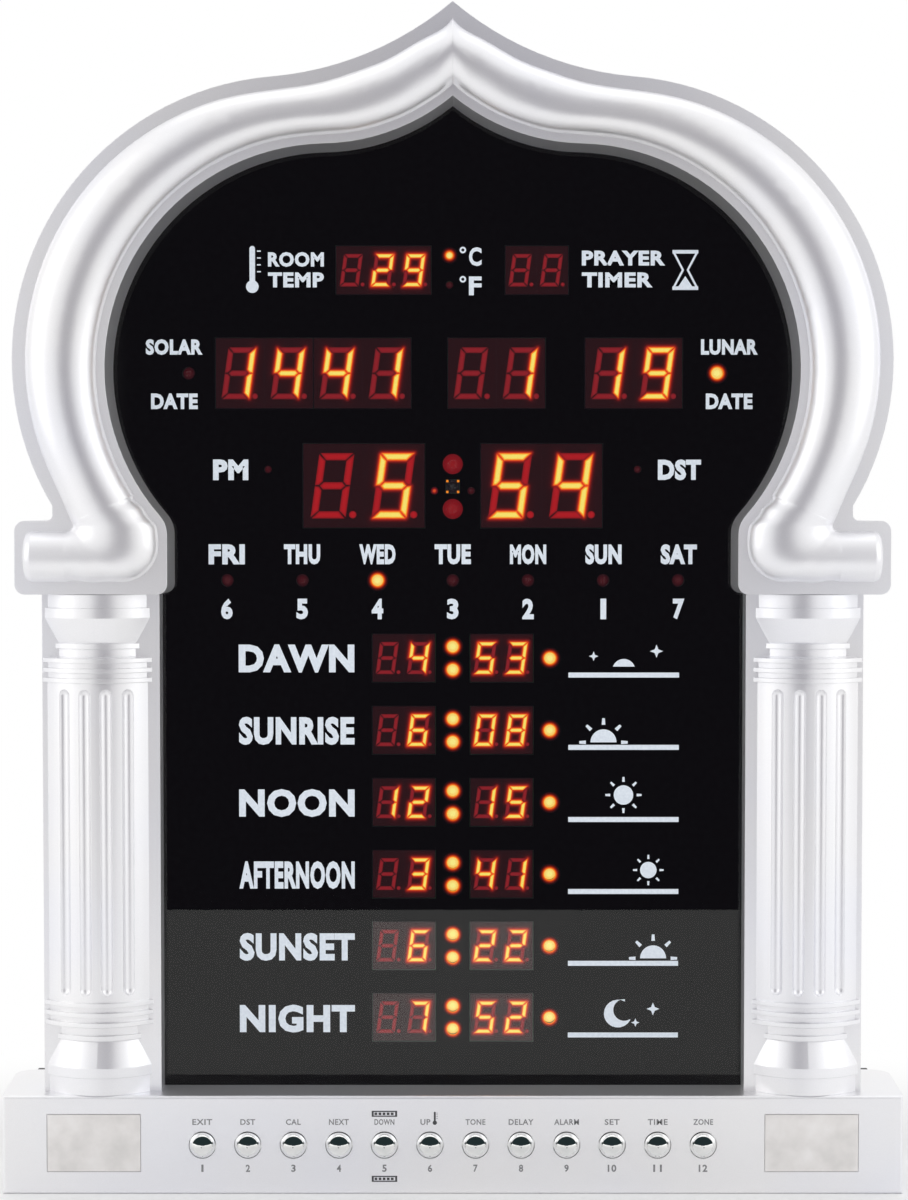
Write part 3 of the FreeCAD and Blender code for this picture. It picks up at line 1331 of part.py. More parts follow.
def screw(place, seat, length, shank, head, head_high, facing):
    """A pan-headed screw along Y: its head stands on the seat, in front with facing -1, behind with 1."""
    stem_ends = sorted((seat, seat - facing * length))
    head_ends = sorted((seat, seat + facing * head_high))
    return rod(*place, shank / 2, *stem_ends).fuse(rod(*place, head / 2, *head_ends))


def screws():
    medium, small = s.screw_width, s.small_pilot - s.fit_gap / 2
    sink_head = s.screw_sink - s.window_gap / 2
    kinds = [
        ("cover_screws", cover_screw_places(), s.case_back - s.screw_sink, s.screw_length, medium,
         s.screw_head, sink_head, 1),
        ("display_board_screws", numbers(DISPLAY_POSTS), p.board_front, s.board_screw_length, medium,
         s.screw_head, s.screw_head_high, -1),
        ("main_board_screws", numbers(MAIN_POSTS), p.main_front, s.board_screw_length, medium,
         s.screw_head, s.screw_head_high, -1),
        ("speaker_screws", speaker_posts(), p.cover_front - s.speaker_flange, s.speaker_screw_length, small,
         s.post_width + 2 * s.speaker_sheet, s.small_head_high, -1),
        ("button_board_screws", button_board_posts(), p.button_board_back, s.small_screw_length, small,
         s.small_head, s.small_head_high, 1)]
    for node, places, *sizes in kinds:
        coded(node, Part.makeCompound([screw(place, *sizes) for place in places]))


# ---------------------------------------------------------------- build

def front_mouldings():
    coded("arch_frame", arch_frame())
    right = column()
    coded("column_right", right)
    coded("column_left", mirrored(right))
    coded("base_housing", base_housing())


def check_all():
    """Stops if any object failed, or if a sub-part's shape is missing or not valid."""
    for item in doc.Objects:
        if {"Invalid", "Error"} & set(item.State):
            raise RuntimeError(f"{item.Label} failed to compute")
    for feature in NODES:
        if feature.Shape.isNull() or not feature.Shape.isValid() or not feature.Shape.Solids:
            raise RuntimeError(f"{feature.Label} has no valid solid")


front_mouldings()
nameplates()
push_buttons()
coded("tact_switches", tact_switches())
button_board()
coded("display_panel", both_sides(solid_between(panel_outline(0), 0, s.panel_thick)))
coded("panel_mask", panel_mask())
digits_and_lamps()
coded("remote_receiver", remote_receiver())
display_board()
driver_chips()
coded("rear_cover", rear_cover())
speaker()
coded("speaker_leads", speaker_leads())
main_board()
chips()
backup_cell()
coded("capacitors", capacitors())
power_inlet()
ribbons_and_headers()
screws()
doc.recompute()
check_all()
os.makedirs("parts", exist_ok=True)
for feature in NODES:
    feature.Shape.exportStep(f"parts/{feature.Label}.step")
    print(feature.Label, len(feature.Shape.Solids), "solids", round(feature.Shape.Volume), "mm3")
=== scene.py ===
"""Looks of the azan clock: finishes, lit digits and lamps, printed marks and chromed buttons.

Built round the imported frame, in metres: X to the clock's right, Y to the back, Z up.  The panel's
front face is at Y = 0 and the base stands on Z = 0.  Digits, lamps and prints are drawn in
millimetres, which Sheet turns into metres; other lengths in millimetres carry MM.
"""
import math

import bpy
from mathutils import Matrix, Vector


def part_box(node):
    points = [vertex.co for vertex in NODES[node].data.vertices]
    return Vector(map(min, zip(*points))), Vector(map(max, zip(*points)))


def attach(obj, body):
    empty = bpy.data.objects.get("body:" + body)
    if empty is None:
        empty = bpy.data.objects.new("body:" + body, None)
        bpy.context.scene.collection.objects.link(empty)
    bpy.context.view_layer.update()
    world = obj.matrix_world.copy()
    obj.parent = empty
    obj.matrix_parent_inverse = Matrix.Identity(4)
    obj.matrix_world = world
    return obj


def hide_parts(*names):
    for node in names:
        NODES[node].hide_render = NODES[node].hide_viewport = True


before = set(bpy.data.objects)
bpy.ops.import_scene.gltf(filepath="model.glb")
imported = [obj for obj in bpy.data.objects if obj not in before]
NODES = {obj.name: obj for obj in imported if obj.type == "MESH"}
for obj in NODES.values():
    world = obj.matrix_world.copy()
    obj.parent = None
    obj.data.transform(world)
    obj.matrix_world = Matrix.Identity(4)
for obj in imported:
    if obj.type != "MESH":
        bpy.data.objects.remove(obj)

MM = 0.001
FULL_TURN = 2 * math.pi
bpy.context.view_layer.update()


# ---------------------------------------------------------------- places in the frame

def node_box(node):
    """A node's left, right, front, back, low and high sides, in millimetres."""
    low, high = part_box(node)
    return [side / MM for axis in range(3) for side in (low[axis], high[axis])]


def islands(node):
    """Left, right, low and high of a node's separate solids, row by row from the top left."""
    mesh = NODES[node].data
    places = [tuple(round(value / MM, 3) for value in vertex.co) for vertex in mesh.vertices]
    owner = {place: place for place in places}

    def root(place):
        while owner[place] != place:
            owner[place] = owner[owner[place]]
            place = owner[place]
        return place

    for edge in mesh.edges:
        first, second = (root(places[index]) for index in edge.vertices)
        owner[first] = second
    groups = {}
    for place in owner:
        groups.setdefault(root(place), []).append(place)
    boxes = []
    for group in groups.values():
        across, heights = [place[0] for place in group], [place[2] for place in group]
        boxes.append((min(across), max(across), min(heights), max(heights)))
    return sorted(boxes, key=lambda box: (-round(box[2] + box[3]), box[0]))


def middle_of(left, right, low, high):
    return (left + right) / 2, (low + high) / 2


def rectangle(left, right, low, high):
    """Its corners, anticlockwise from the lower left."""
    return [(left, low), (right, low), (right, high), (left, high)]


# ---------------------------------------------------------------- materials

def new_material(name):
    """A material with its node tree and its shader."""
    material = bpy.data.materials.new(name)
    material.use_nodes = True
    tree = material.node_tree
    return material, tree, tree.nodes["Principled BSDF"]


def add(tree, kind, inputs=None, **settings):
    """A node with its settings; inputs holds numbers, colours or output sockets."""
    node = tree.nodes.new(kind)
    for key, value in settings.items():
        setattr(node, key, value)
    for key, value in (inputs or {}).items():
        if isinstance(value, bpy.types.NodeSocket):
            tree.links.new(value, node.inputs[key])
        else:
            node.inputs[key].default_value = value
    return node


def ramp(tree, factor, stops):
    """A colour ramp with (position, colour) stops."""
    node = add(tree, "ShaderNodeValToRGB", {"Fac": factor})
    elements = node.color_ramp.elements
    while len(elements) < len(stops):
        elements.new(0.5)
    for element, (position, colour) in zip(elements, stops):
        element.position = position
        element.color = (*colour, 1)
    return node.outputs["Color"]


def spread(tree, factor, low, high):
    """Maps a factor of 0 to 1 to a range of numbers."""
    node = add(tree, "ShaderNodeMapRange", {"Value": factor, "To Min": low, "To Max": high})
    return node.outputs["Result"]


def fade(tree, value, start, end):
    """0 where the value is at start and 1 where it is at end, with a soft passage between."""
    node = add(tree, "ShaderNodeMapRange", {"Value": value, "From Min": start, "From Max": end},
               interpolation_type="SMOOTHSTEP")
    return node.outputs["Result"]


def math_node(tree, operation, first, second):
    return add(tree, "ShaderNodeMath", {0: first, 1: second}, operation=operation).outputs[0]


def position(tree):
    """A point's place in its object, which is its place in the frame at rest."""
    return add(tree, "ShaderNodeTexCoord").outputs["Object"]


def noise(tree, scale, detail=3.0, stretch=(1, 1, 1)):
    """Noise in the frame's own metres."""
    scaled = add(tree, "ShaderNodeMapping", {"Vector": position(tree), "Scale": stretch})
    return add(tree, "ShaderNodeTexNoise", {"Vector": scaled.outputs["Vector"], "Scale": scale,
                                            "Detail": detail}).outputs["Fac"]


def bump(tree, shader, height, strength, distance, **inputs):
    """Relief from a height of 0 to 1, which stands for a distance in metres."""
    inputs.update({"Height": height, "Strength": strength, "Distance": distance})
    tree.links.new(add(tree, "ShaderNodeBump", inputs).outputs["Normal"], shader.inputs["Normal"])


def finish(name, dark, light, scale, roughness=(0.4, 0.5), metallic=0.0, relief=0.0, stretch=(1, 1, 1),
           **sockets):
    """A finish whose colour, gloss and fine relief all vary with one noise."""
    material, tree, shader = new_material(name)
    grain = noise(tree, scale, stretch=stretch)
    tree.links.new(ramp(tree, grain, [(0.35, dark), (0.65, light)]), shader.inputs["Base Color"])
    tree.links.new(spread(tree, grain, *roughness), shader.inputs["Roughness"])
    shader.inputs["Metallic"].default_value = metallic
    if relief:
        bump(tree, shader, grain, 0.4, relief)
    for socket, value in sockets.items():
        shader.inputs[socket.replace("_", " ")].default_value = value
    return material


def silver_paint():
    """Metallic lacquer: fine flakes in a clear coat, soft edges, and a faint cloud from the spraying."""
    material, tree, shader = new_material("silver_paint")
    flakes = noise(tree, 5200.0, detail=1.0)
    cloud = noise(tree, 14.0, detail=2.0)
    tone = ramp(tree, flakes, [(0.3, (0.87, 0.868, 0.89)), (0.7, (0.93, 0.928, 0.945))])
    tint = ramp(tree, cloud, [(0.35, (0.97, 0.975, 1.0)), (0.65, (1.0, 0.995, 0.985))])
    # a colour mix takes its factor at socket 0 and its colours at 6 and 7, and gives its colour at 2
    mixed = add(tree, "ShaderNodeMix", {0: 1.0, 6: tone, 7: tint}, data_type="RGBA", blend_type="MULTIPLY")
    tree.links.new(mixed.outputs[2], shader.inputs["Base Color"])
    tree.links.new(spread(tree, flakes, 0.33, 0.39), shader.inputs["Roughness"])
    shader.inputs["Metallic"].default_value = 0.78
    shader.inputs["Coat Weight"].default_value = 0.2
    shader.inputs["Coat Roughness"].default_value = 0.1
    edges = add(tree, "ShaderNodeBevel", {"Radius": 0.35 * MM}, samples=4).outputs["Normal"]
    bump(tree, shader, flakes, 0.04, 0.01 * MM, Normal=edges)
    return material


def pearl_plate():
    """Bare plate with a warm pearly sheen in large soft blotches under fine brushing."""
    material, tree, shader = new_material("brushed_plate")
    blotch = noise(tree, 95.0)
    brushing = noise(tree, 1400.0, detail=2.0, stretch=(0.12, 1, 1))
    tone = ramp(tree, blotch, [(0.3, (0.74, 0.72, 0.705)), (0.5, (0.83, 0.805, 0.79)),
                               (0.7, (0.90, 0.88, 0.87))])
    tree.links.new(tone, shader.inputs["Base Color"])
    tree.links.new(spread(tree, brushing, 0.30, 0.44), shader.inputs["Roughness"])
    shader.inputs["Metallic"].default_value = 0.75
    shader.inputs["Coat Weight"].default_value = 0.2
    bump(tree, shader, blotch, 0.25, 0.3 * MM)
    return material


def clear_acrylic():
    """Clear and polished, with a trace of haze."""
    material, tree, shader = new_material("clear_acrylic")
    haze = noise(tree, 60.0, detail=2.0)
    tree.links.new(spread(tree, haze, 0.0, 0.02), shader.inputs["Roughness"])
    shader.inputs["Base Color"].default_value = (0.97, 0.985, 0.98, 1)
    shader.inputs["IOR"].default_value = 1.46
    shader.inputs["Transmission Weight"].default_value = 1.0
    return material


def glow(name, stops, mottle=0.0, gloss=0.02):
    """A light source whose colour follows the heat, the first coordinate of its mesh's map "heat"."""
    material, tree, shader = new_material(name)
    stored = add(tree, "ShaderNodeUVMap", uv_map="heat").outputs["UV"]
    heat = add(tree, "ShaderNodeSeparateXYZ", {0: stored}).outputs["X"]
    blotch = spread(tree, noise(tree, 900.0, detail=1.0), -mottle, mottle)
    colour = ramp(tree, math_node(tree, "ADD", heat, blotch), stops)
    tree.links.new(colour, shader.inputs["Emission Color"])
    shader.inputs["Emission Strength"].default_value = 1.0
    shader.inputs["Base Color"].default_value = (0.004, 0.0005, 0.0005, 1)
    shader.inputs["Specular IOR Level"].default_value = gloss
    shader.inputs["Roughness"].default_value = 0.2
    return material


MATERIALS = {
    "silver_paint": silver_paint(),
    "clear_acrylic": clear_acrylic(),
    "brushed_plate": pearl_plate(),
    "black_plastic": finish("black_plastic", (0.012, 0.012, 0.013), (0.02, 0.02, 0.021), 1500.0,
                            (0.42, 0.58), relief=0.06 * MM),
    "chrome_plate": finish("chrome_plate", (0.84, 0.85, 0.84), (0.90, 0.90, 0.89), 300.0, (0.0, 0.0),
                           metallic=1.0),
    "black_film": finish("black_film", (0.004, 0.0045, 0.006), (0.007, 0.008, 0.010), 400.0, (0.3, 0.45),
                         Specular_IOR_Level=0.05),
    "digit_module": finish("digit_module", (0.018, 0.002, 0.003), (0.026, 0.003, 0.004), 400.0, (0.35, 0.5),
                           Specular_IOR_Level=0.05),
    "lamp_resin": finish("lamp_resin", (0.10, 0.003, 0.004), (0.14, 0.005, 0.006), 300.0, (0.1, 0.2)),
    "circuit_board": finish("circuit_board", (0.005, 0.10, 0.035), (0.01, 0.15, 0.055), 120.0, (0.3, 0.45)),
    "chip_plastic": finish("chip_plastic", (0.012, 0.012, 0.013), (0.022, 0.022, 0.024), 900.0,
                           (0.45, 0.6)),
    "header_plastic": finish("header_plastic", (0.70, 0.68, 0.62), (0.78, 0.76, 0.70), 300.0, (0.4, 0.5)),
    "cable_sheath": finish("cable_sheath", (0.30, 0.31, 0.33), (0.42, 0.43, 0.45), 700.0, (0.45, 0.6),
                           stretch=(6, 1, 1)),
    "speaker_steel": finish("speaker_steel", (0.42, 0.42, 0.43), (0.52, 0.52, 0.53), 200.0, (0.3, 0.45),
                            metallic=1.0),
    "speaker_paper": finish("speaker_paper", (0.02, 0.02, 0.022), (0.04, 0.04, 0.042), 700.0, (0.8, 0.95),
                            relief=0.08 * MM),
    "bright_metal": finish("bright_metal", (0.68, 0.68, 0.69), (0.80, 0.80, 0.80), 250.0, (0.15, 0.3),
                           metallic=1.0),
    "screw_steel": finish("screw_steel", (0.45, 0.45, 0.46), (0.58, 0.58, 0.59), 500.0, (0.25, 0.4),
                          metallic=1.0),
}
PANEL_PRINT = finish("panel_print", (0.66, 0.72, 0.80), (0.74, 0.80, 0.87), 900.0, (0.45, 0.6))
BASE_PRINT = finish("base_print", (0.15, 0.15, 0.16), (0.23, 0.23, 0.24), 2600.0, (0.5, 0.6))
BADGE_PRINT = finish("badge_print", (0.035, 0.035, 0.04), (0.055, 0.055, 0.06), 2000.0, (0.5, 0.6))
LAMP_GLOW = glow("lamp_glow", [(0.0, (0.010, 0.0, 0.0006)), (0.25, (0.055, 0.0, 0.002)),
                               (0.42, (0.24, 0.002, 0.005)), (0.55, (0.95, 0.10, 0.006)),
                               (0.75, (1.0, 0.42, 0.035)), (1.0, (1.0, 0.86, 0.24))],
                 mottle=0.02, gloss=0.15)
# painted light: a glow round the lit lamps on the film, also used for the receiver's painted glints
PAINTED_HALO_GLOW = glow("painted_halo_glow", [(0.0, (0.003, 0.003, 0.004)), (0.2, (0.035, 0.001, 0.001)),
                               (0.45, (0.22, 0.009, 0.002)), (0.75, (0.85, 0.09, 0.006)),
                               (1.0, (1.0, 0.40, 0.03))])
LIT_SEGMENT = glow("lit_segment", [(0.0, (0.90, 0.09, 0.008)), (0.30, (1.0, 0.26, 0.015)),
                                   (0.62, (1.0, 0.56, 0.06)), (1.0, (1.0, 0.80, 0.16))], mottle=0.10)
# painted light: the unlit segments and points glow dim red, brighter along their cores
UNLIT_LARGE_PAINTED_GLOW = glow("unlit_large_painted_glow", [(0.0, (0.20, 0.003, 0.005)), (1.0, (0.42, 0.007, 0.011))])
UNLIT_SMALL_PAINTED_GLOW = glow("unlit_small_painted_glow", [(0.0, (0.12, 0.004, 0.006)), (1.0, (0.26, 0.010, 0.015))])
# painted light: the module faces glow with light spilt from the lit segments, and dim red far from them
MODULE_FACE_PAINTED_GLOW = glow("module_face_painted_glow", [(0.0, (0.014, 0.0008, 0.001)), (0.15, (0.035, 0.001, 0.0015)),
                                   (0.5, (0.24, 0.007, 0.003)), (1.0, (0.9, 0.06, 0.01))])

for node in NODES.values():
    for material_slot in node.material_slots:
        material_slot.material = MATERIALS[material_slot.material.name.split(".")[0]]


# ---------------------------------------------------------------- camera, light and ground

PHOTO_FOCUS = 2520.0        # focal length in pixels of the 1200 pixel high frame
PHOTO_HEIGHT = 1200.0
CAMERA_ASIDE = 0.5 * MM     # to the right of the clock's middle
CAMERA_BACK = 1.0           # from the panel to the camera
CAMERA_HEIGHT = 0.2727
CAMERA_DIP = 2.27           # degrees below level

camera_data = bpy.data.cameras.new("camera")
camera_data.sensor_fit = "VERTICAL"
camera_data.sensor_height = 36.0
camera_data.lens = camera_data.sensor_height * PHOTO_FOCUS / PHOTO_HEIGHT
camera_data.clip_start = 0.05
camera = bpy.data.objects.new("camera", camera_data)
camera.location = (CAMERA_ASIDE, -CAMERA_BACK, CAMERA_HEIGHT)
camera.rotation_euler = (math.radians(90 - CAMERA_DIP), 0, 0)
bpy.context.scene.collection.objects.link(camera)
bpy.context.scene.camera = camera

CLOCK_MIDDLE = Vector((0, 0, 0.24))


def area_light(name, location, width, height, power, colour):
    """A soft box aimed at the clock's middle, with its power in watts."""
    data = bpy.data.lights.new(name, "AREA")
    data.shape = "RECTANGLE"
    data.size, data.size_y = width, height
    data.energy, data.color = power, colour
    light = bpy.data.objects.new(name, data)
    light.location = location
    light.rotation_euler = (CLOCK_MIDDLE - Vector(location)).to_track_quat("-Z", "Y").to_euler()
    bpy.context.scene.collection.objects.link(light)


area_light("light_left", (-1.3, -0.7, 0.7), width=0.8, height=1.3, power=2.6, colour=(1.0, 0.99, 0.97))
area_light("light_right", (1.3, -0.7, 0.7), width=0.8, height=1.3, power=2.6, colour=(0.97, 0.99, 1.0))
area_light("light_top", (0, 0.1, 1.6), width=1.4, height=0.7, power=1.6, colour=(0.98, 0.99, 1.0))

SURROUND_LEVEL = 0.92       # of white, as soft light on the clock


def background_rays(tree):
    """1 for the rays that show the background: from the camera, off glossy faces and through glass."""
    path = add(tree, "ShaderNodeLightPath").outputs
    either = math_node(tree, "MAXIMUM", path["Is Camera Ray"], path["Is Glossy Ray"])
    return math_node(tree, "MAXIMUM", either, path["Is Transmission Ray"])


def surroundings():
    """White all round: full white as a background and in reflections, a little less as soft light."""
    world = bpy.data.worlds.new("tent")
    bpy.context.scene.world = world
    world.use_nodes = True
    tree = world.node_tree
    background = tree.nodes["Background"].inputs
    background["Color"].default_value = (1, 1, 1, 1)
    tree.links.new(spread(tree, background_rays(tree), SURROUND_LEVEL, 1.0), background["Strength"])


surroundings()
bpy.context.scene.view_settings.view_transform = "Standard"


def stage_sheet(name, corners):
    """A flat part of the studio, which isn't part of the clock."""
    mesh = bpy.data.meshes.new(name)
    mesh.from_pydata(corners, [], [(0, 1, 2, 3)])
    sheet = bpy.data.objects.new(name, mesh)
    bpy.context.scene.collection.objects.link(sheet)
    material, tree, shader = new_material(name)
    mesh.materials.append(material)
    return sheet, tree, shader


def dark_flag(name, corners, colour):
    """A dark screen that only reflections and the view through glass see.

    Its tree is returned with the socket that takes its cover: 1 where it is dark, 0 where it is open.
    """
    flag, tree, shader = stage_sheet(name, corners)
    for ray in ("camera", "diffuse", "volume_scatter", "shadow"):
        setattr(flag, f"visible_{ray}", False)
    tree.nodes.remove(shader)
    dark = add(tree, "ShaderNodeEmission", {"Color": (*colour, 1), "Strength": 1.0})
    clear = add(tree, "ShaderNodeBsdfTransparent")
    mixed = add(tree, "ShaderNodeMixShader", {1: clear.outputs[0], 2: dark.outputs[0]})
    tree.links.new(mixed.outputs[0], tree.nodes["Material Output"].inputs["Surface"])
    return tree, mixed.inputs[0]


FLOOR_EDGE = -0.669         # where the ground ends ahead of the panel, towards the camera


def photographer():
    """The dark shape of a person behind the camera, with soft edges."""
    depth, half, low, high = -CAMERA_BACK - 0.04, 0.34, -0.7, 1.9
    dark_half, clear_half = 0.26, 0.32      # it fades out between these, to either side
    dark_high, clear_high = 1.2, 1.8        # and between these, upwards
    corners = [(x, depth, z) for x, z in rectangle(-half, half, low, high)]
    tree, cover = dark_flag("photographer", corners, (0.125, 0.112, 0.145))
    place = add(tree, "ShaderNodeSeparateXYZ", {0: position(tree)})
    aside = math_node(tree, "ABSOLUTE", place.outputs["X"], 0.0)
    beside = fade(tree, aside, clear_half, dark_half)
    below = fade(tree, place.outputs["Z"], clear_high, dark_high)
    tree.links.new(math_node(tree, "MULTIPLY", beside, below), cover)


def low_flag():
    """Dark to a mirror that looks up at it from below, as the buttons' domes do, and open from above."""
    height, clock_side, camera_side, half = 0.045, -0.026, FLOOR_EDGE, 0.40
    corners = [(x, y, height) for x, y in rectangle(-half, half, camera_side, clock_side)]
    tree, cover = dark_flag("low_flag", corners, (0.018, 0.03, 0.032))
    below = add(tree, "ShaderNodeNewGeometry").outputs["Backfacing"]
    mirrored = add(tree, "ShaderNodeLightPath").outputs["Is Singular Ray"]
    tree.links.new(math_node(tree, "MULTIPLY", below, mirrored), cover)


def ground():
    """Pale paper that fades to the surroundings' white away from the clock."""
    side, paper_reach, white_reach = 2.5, 0.09, 0.26
    squeeze = 0.55                          # of widths, so that it fades later to the sides
    corners = [(x, y, 0) for x, y in rectangle(-side, side, FLOOR_EDGE, side)]
    _, tree, shader = stage_sheet("floor", corners)
    tone = ramp(tree, noise(tree, 3.0), [(0.3, (0.88, 0.88, 0.885)), (0.7, (0.91, 0.91, 0.91))])
    tree.links.new(tone, shader.inputs["Base Color"])
    shader.inputs["Roughness"].default_value = 0.8
    squeezed = add(tree, "ShaderNodeMapping", {"Vector": position(tree), "Scale": (squeeze, 1, 1)})
    reach = add(tree, "ShaderNodeVectorMath", {0: squeezed.outputs[0]}, operation="LENGTH")
    away = fade(tree, reach.outputs["Value"], paper_reach, white_reach)
    cover = math_node(tree, "MULTIPLY", away, background_rays(tree))
    white = add(tree, "ShaderNodeEmission", {"Color": (1, 1, 1, 1), "Strength": 1.0})
    mixed = add(tree, "ShaderNodeMixShader", {0: cover, 1: shader.outputs[0], 2: white.outputs[0]})
    tree.links.new(mixed.outputs[0], tree.nodes["Material Output"].inputs["Surface"])


photographer()
low_flag()
ground()


# ---------------------------------------------------------------- pieces

def link(name, mesh, material):
    """Puts a mesh in the scene as a piece of the clock's case."""
    piece = bpy.data.objects.new(name, mesh)
    bpy.context.scene.collection.objects.link(piece)
    mesh.materials.append(material)
    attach(piece, "case")
    return piece


class Sheet:
    """Collects outlines drawn in X and Z, each with a depth and a heat, into one mesh."""

    def __init__(self):
        self.points, self.faces, self.heats = [], [], []

    def ring(self, outline, depth, heat=0.0):
        """Adds an outline's points and gives back their numbers."""
        start = len(self.points)
        self.points += [(x * MM, depth * MM, z * MM) for x, z in outline]
        self.heats += [heat] * len(outline)
        return list(range(start, start + len(outline)))

    def bridge(self, *rings):
        """Faces between each ring and the next, which has as many points."""
        for outer, inner in zip(rings, rings[1:]):
            for number in range(len(outer)):
                after = (number + 1) % len(outer)
                self.faces.append((outer[number], outer[after], inner[after], inner[number]))

    def fill(self, ring):
        self.faces.append(tuple(ring))

    def mesh(self, name, smooth=False):
        """The mesh, with each point's heat as the first coordinate of its map."""
        mesh = bpy.data.meshes.new(name)
        mesh.from_pydata(self.points, [], self.faces)
        places = [part for loop in mesh.loops for part in (self.heats[loop.vertex_index], 0.5)]
        mesh.uv_layers.new(name="heat").data.foreach_set("uv", places)
        mesh.polygons.foreach_set("use_smooth", [smooth] * len(mesh.polygons))
        mesh.update()
        return mesh


def circle(x, z, radius, count=24, start=0.0, end=FULL_TURN):
    """Points of a circle, or of an arc with both its ends, anticlockwise."""
    steps = count if end - start >= FULL_TURN else count - 1
    return [(x + radius * math.cos(start + (end - start) * step / steps),
             z + radius * math.sin(start + (end - start) * step / steps)) for step in range(count)]


def inset(outline, distance):
    """A convex outline, drawn anticlockwise, moved inwards by distance."""
    moved = []
    count = len(outline)
    for number in range(count):
        before, here, after = outline[number - 1], outline[number], outline[(number + 1) % count]
        lines = []
        for start, end in ((before, here), (here, after)):
            run = (end[0] - start[0], end[1] - start[1])
            size = math.hypot(*run)
            normal = (-run[1] / size, run[0] / size)
            lines.append((normal, normal[0] * start[0] + normal[1] * start[1] + distance))
        (first, first_reach), (second, second_reach) = lines
        cross = first[0] * second[1] - first[1] * second[0]
        moved.append(((first_reach * second[1] - second_reach * first[1]) / cross,
                      (second_reach * first[0] - first_reach * second[0]) / cross))
    return moved


# ---------------------------------------------------------------- seven-segment digits

LIT = {"0": "abcdef", "1": "bc", "2": "abged", "3": "abgcd", "4": "fgbc", "5": "afgcd", "6": "afgedc",
       "7": "abc", "8": "abcdefg", "9": "abcdfg", " ": ""}
SLANT = math.tan(math.radians(8.0))


def flipped_across(outline):
    return [(-x, z) for x, z in reversed(outline)]


def flipped_over(outline):
    return [(x, -z) for x, z in reversed(outline)]


def segments(width, height, stroke):
    """The seven outlines in the digit's own box, from its middle, anticlockwise and slanted.

    The ends of the strokes are cut back and bevelled by shares of the stroke and of the gap.
    """
    half, mid, gap = width / 2, height / 2, 0.16 * stroke
    inner = half - stroke
    upper = [(-half, mid - gap), (-half, 0.4 * gap), (-half + 0.55 * stroke, 0.7 * gap),
             (-inner, stroke / 2 + 0.6 * gap), (-inner, mid - stroke - 0.4 * gap)]
    top = [(-half + gap, mid), (-inner + 0.4 * gap, mid - stroke), (inner - 0.4 * gap, mid - stroke),
           (half - gap, mid)]
    middle = [(-half + 0.5 * stroke + gap, 0), (-inner + gap, -stroke / 2), (inner - gap, -stroke / 2),
              (half - 0.5 * stroke - gap, 0), (inner - gap, stroke / 2), (-inner + gap, stroke / 2)]
    shapes = {"a": top, "g": middle, "f": upper, "b": flipped_across(upper), "e": flipped_over(upper),
              "c": flipped_across(flipped_over(upper)), "d": flipped_over(top)}
    return {key: [(x + z * SLANT, z) for x, z in outline] for key, outline in shapes.items()}


def distance_to(outline, x, z):
    """Distance of a point to a filled convex outline."""
    inside, best = True, math.inf
    for number, start in enumerate(outline):
        end = outline[(number + 1) % len(outline)]
        run = (end[0] - start[0], end[1] - start[1])
        reach = (x - start[0], z - start[1])
        if run[0] * reach[1] - run[1] * reach[0] < 0:
            inside = False
        along = (reach[0] * run[0] + reach[1] * run[1]) / (run[0] ** 2 + run[1] ** 2)
        share = max(0.0, min(1.0, along))
        best = min(best, math.hypot(reach[0] - share * run[0], reach[1] - share * run[1]))
    return 0.0 if inside else best


FACE = node_box("digits_time")[2] - 0.04    # depth of the segments' rims, just ahead of the CAD blocks
PAINTED_GLOW_FACE = FACE + 0.02     # depth of the faces with the painted glow, between the rims and the blocks
GRID = 0.55                 # cell of the faces' painted glow
PAINTED_GLOW_REACH = 0.75           # the painted glow falls to about a third over this distance
CELL_GAP = 0.3              # between the faces of neighbouring digits
DIGIT_SHIFT = -0.4          # of the digits from their cells' middles, to the left
# a segment's slope and core: how far in from its rim, in strokes, how far ahead of it, and the heat
SLOPE = (0.14, 0.10, 0.45)
CORE = (0.30, 0.14, 1.0)
POINT_RADIUS = 0.52         # of the decimal points, in strokes
POINT_ASIDE = 1.9           # from a digit's lower right corner to its point's middle, in the point's radii
POINT_STROKE = 0.8          # the point's slope and core are those of a narrower stroke, 0.8 of the digit's


def light_bar(sheet, outline, stroke):
    """A raised bar of light with a rim, a slope and a core; on an unlit segment this light is a painted dim
    glow.
    """
    rings = [sheet.ring(outline, FACE)]
    for share, rise, heat in (SLOPE, CORE):
        rings.append(sheet.ring(inset(outline, share * stroke), FACE - rise, heat))
    sheet.bridge(*rings)
    sheet.fill(rings[-1])


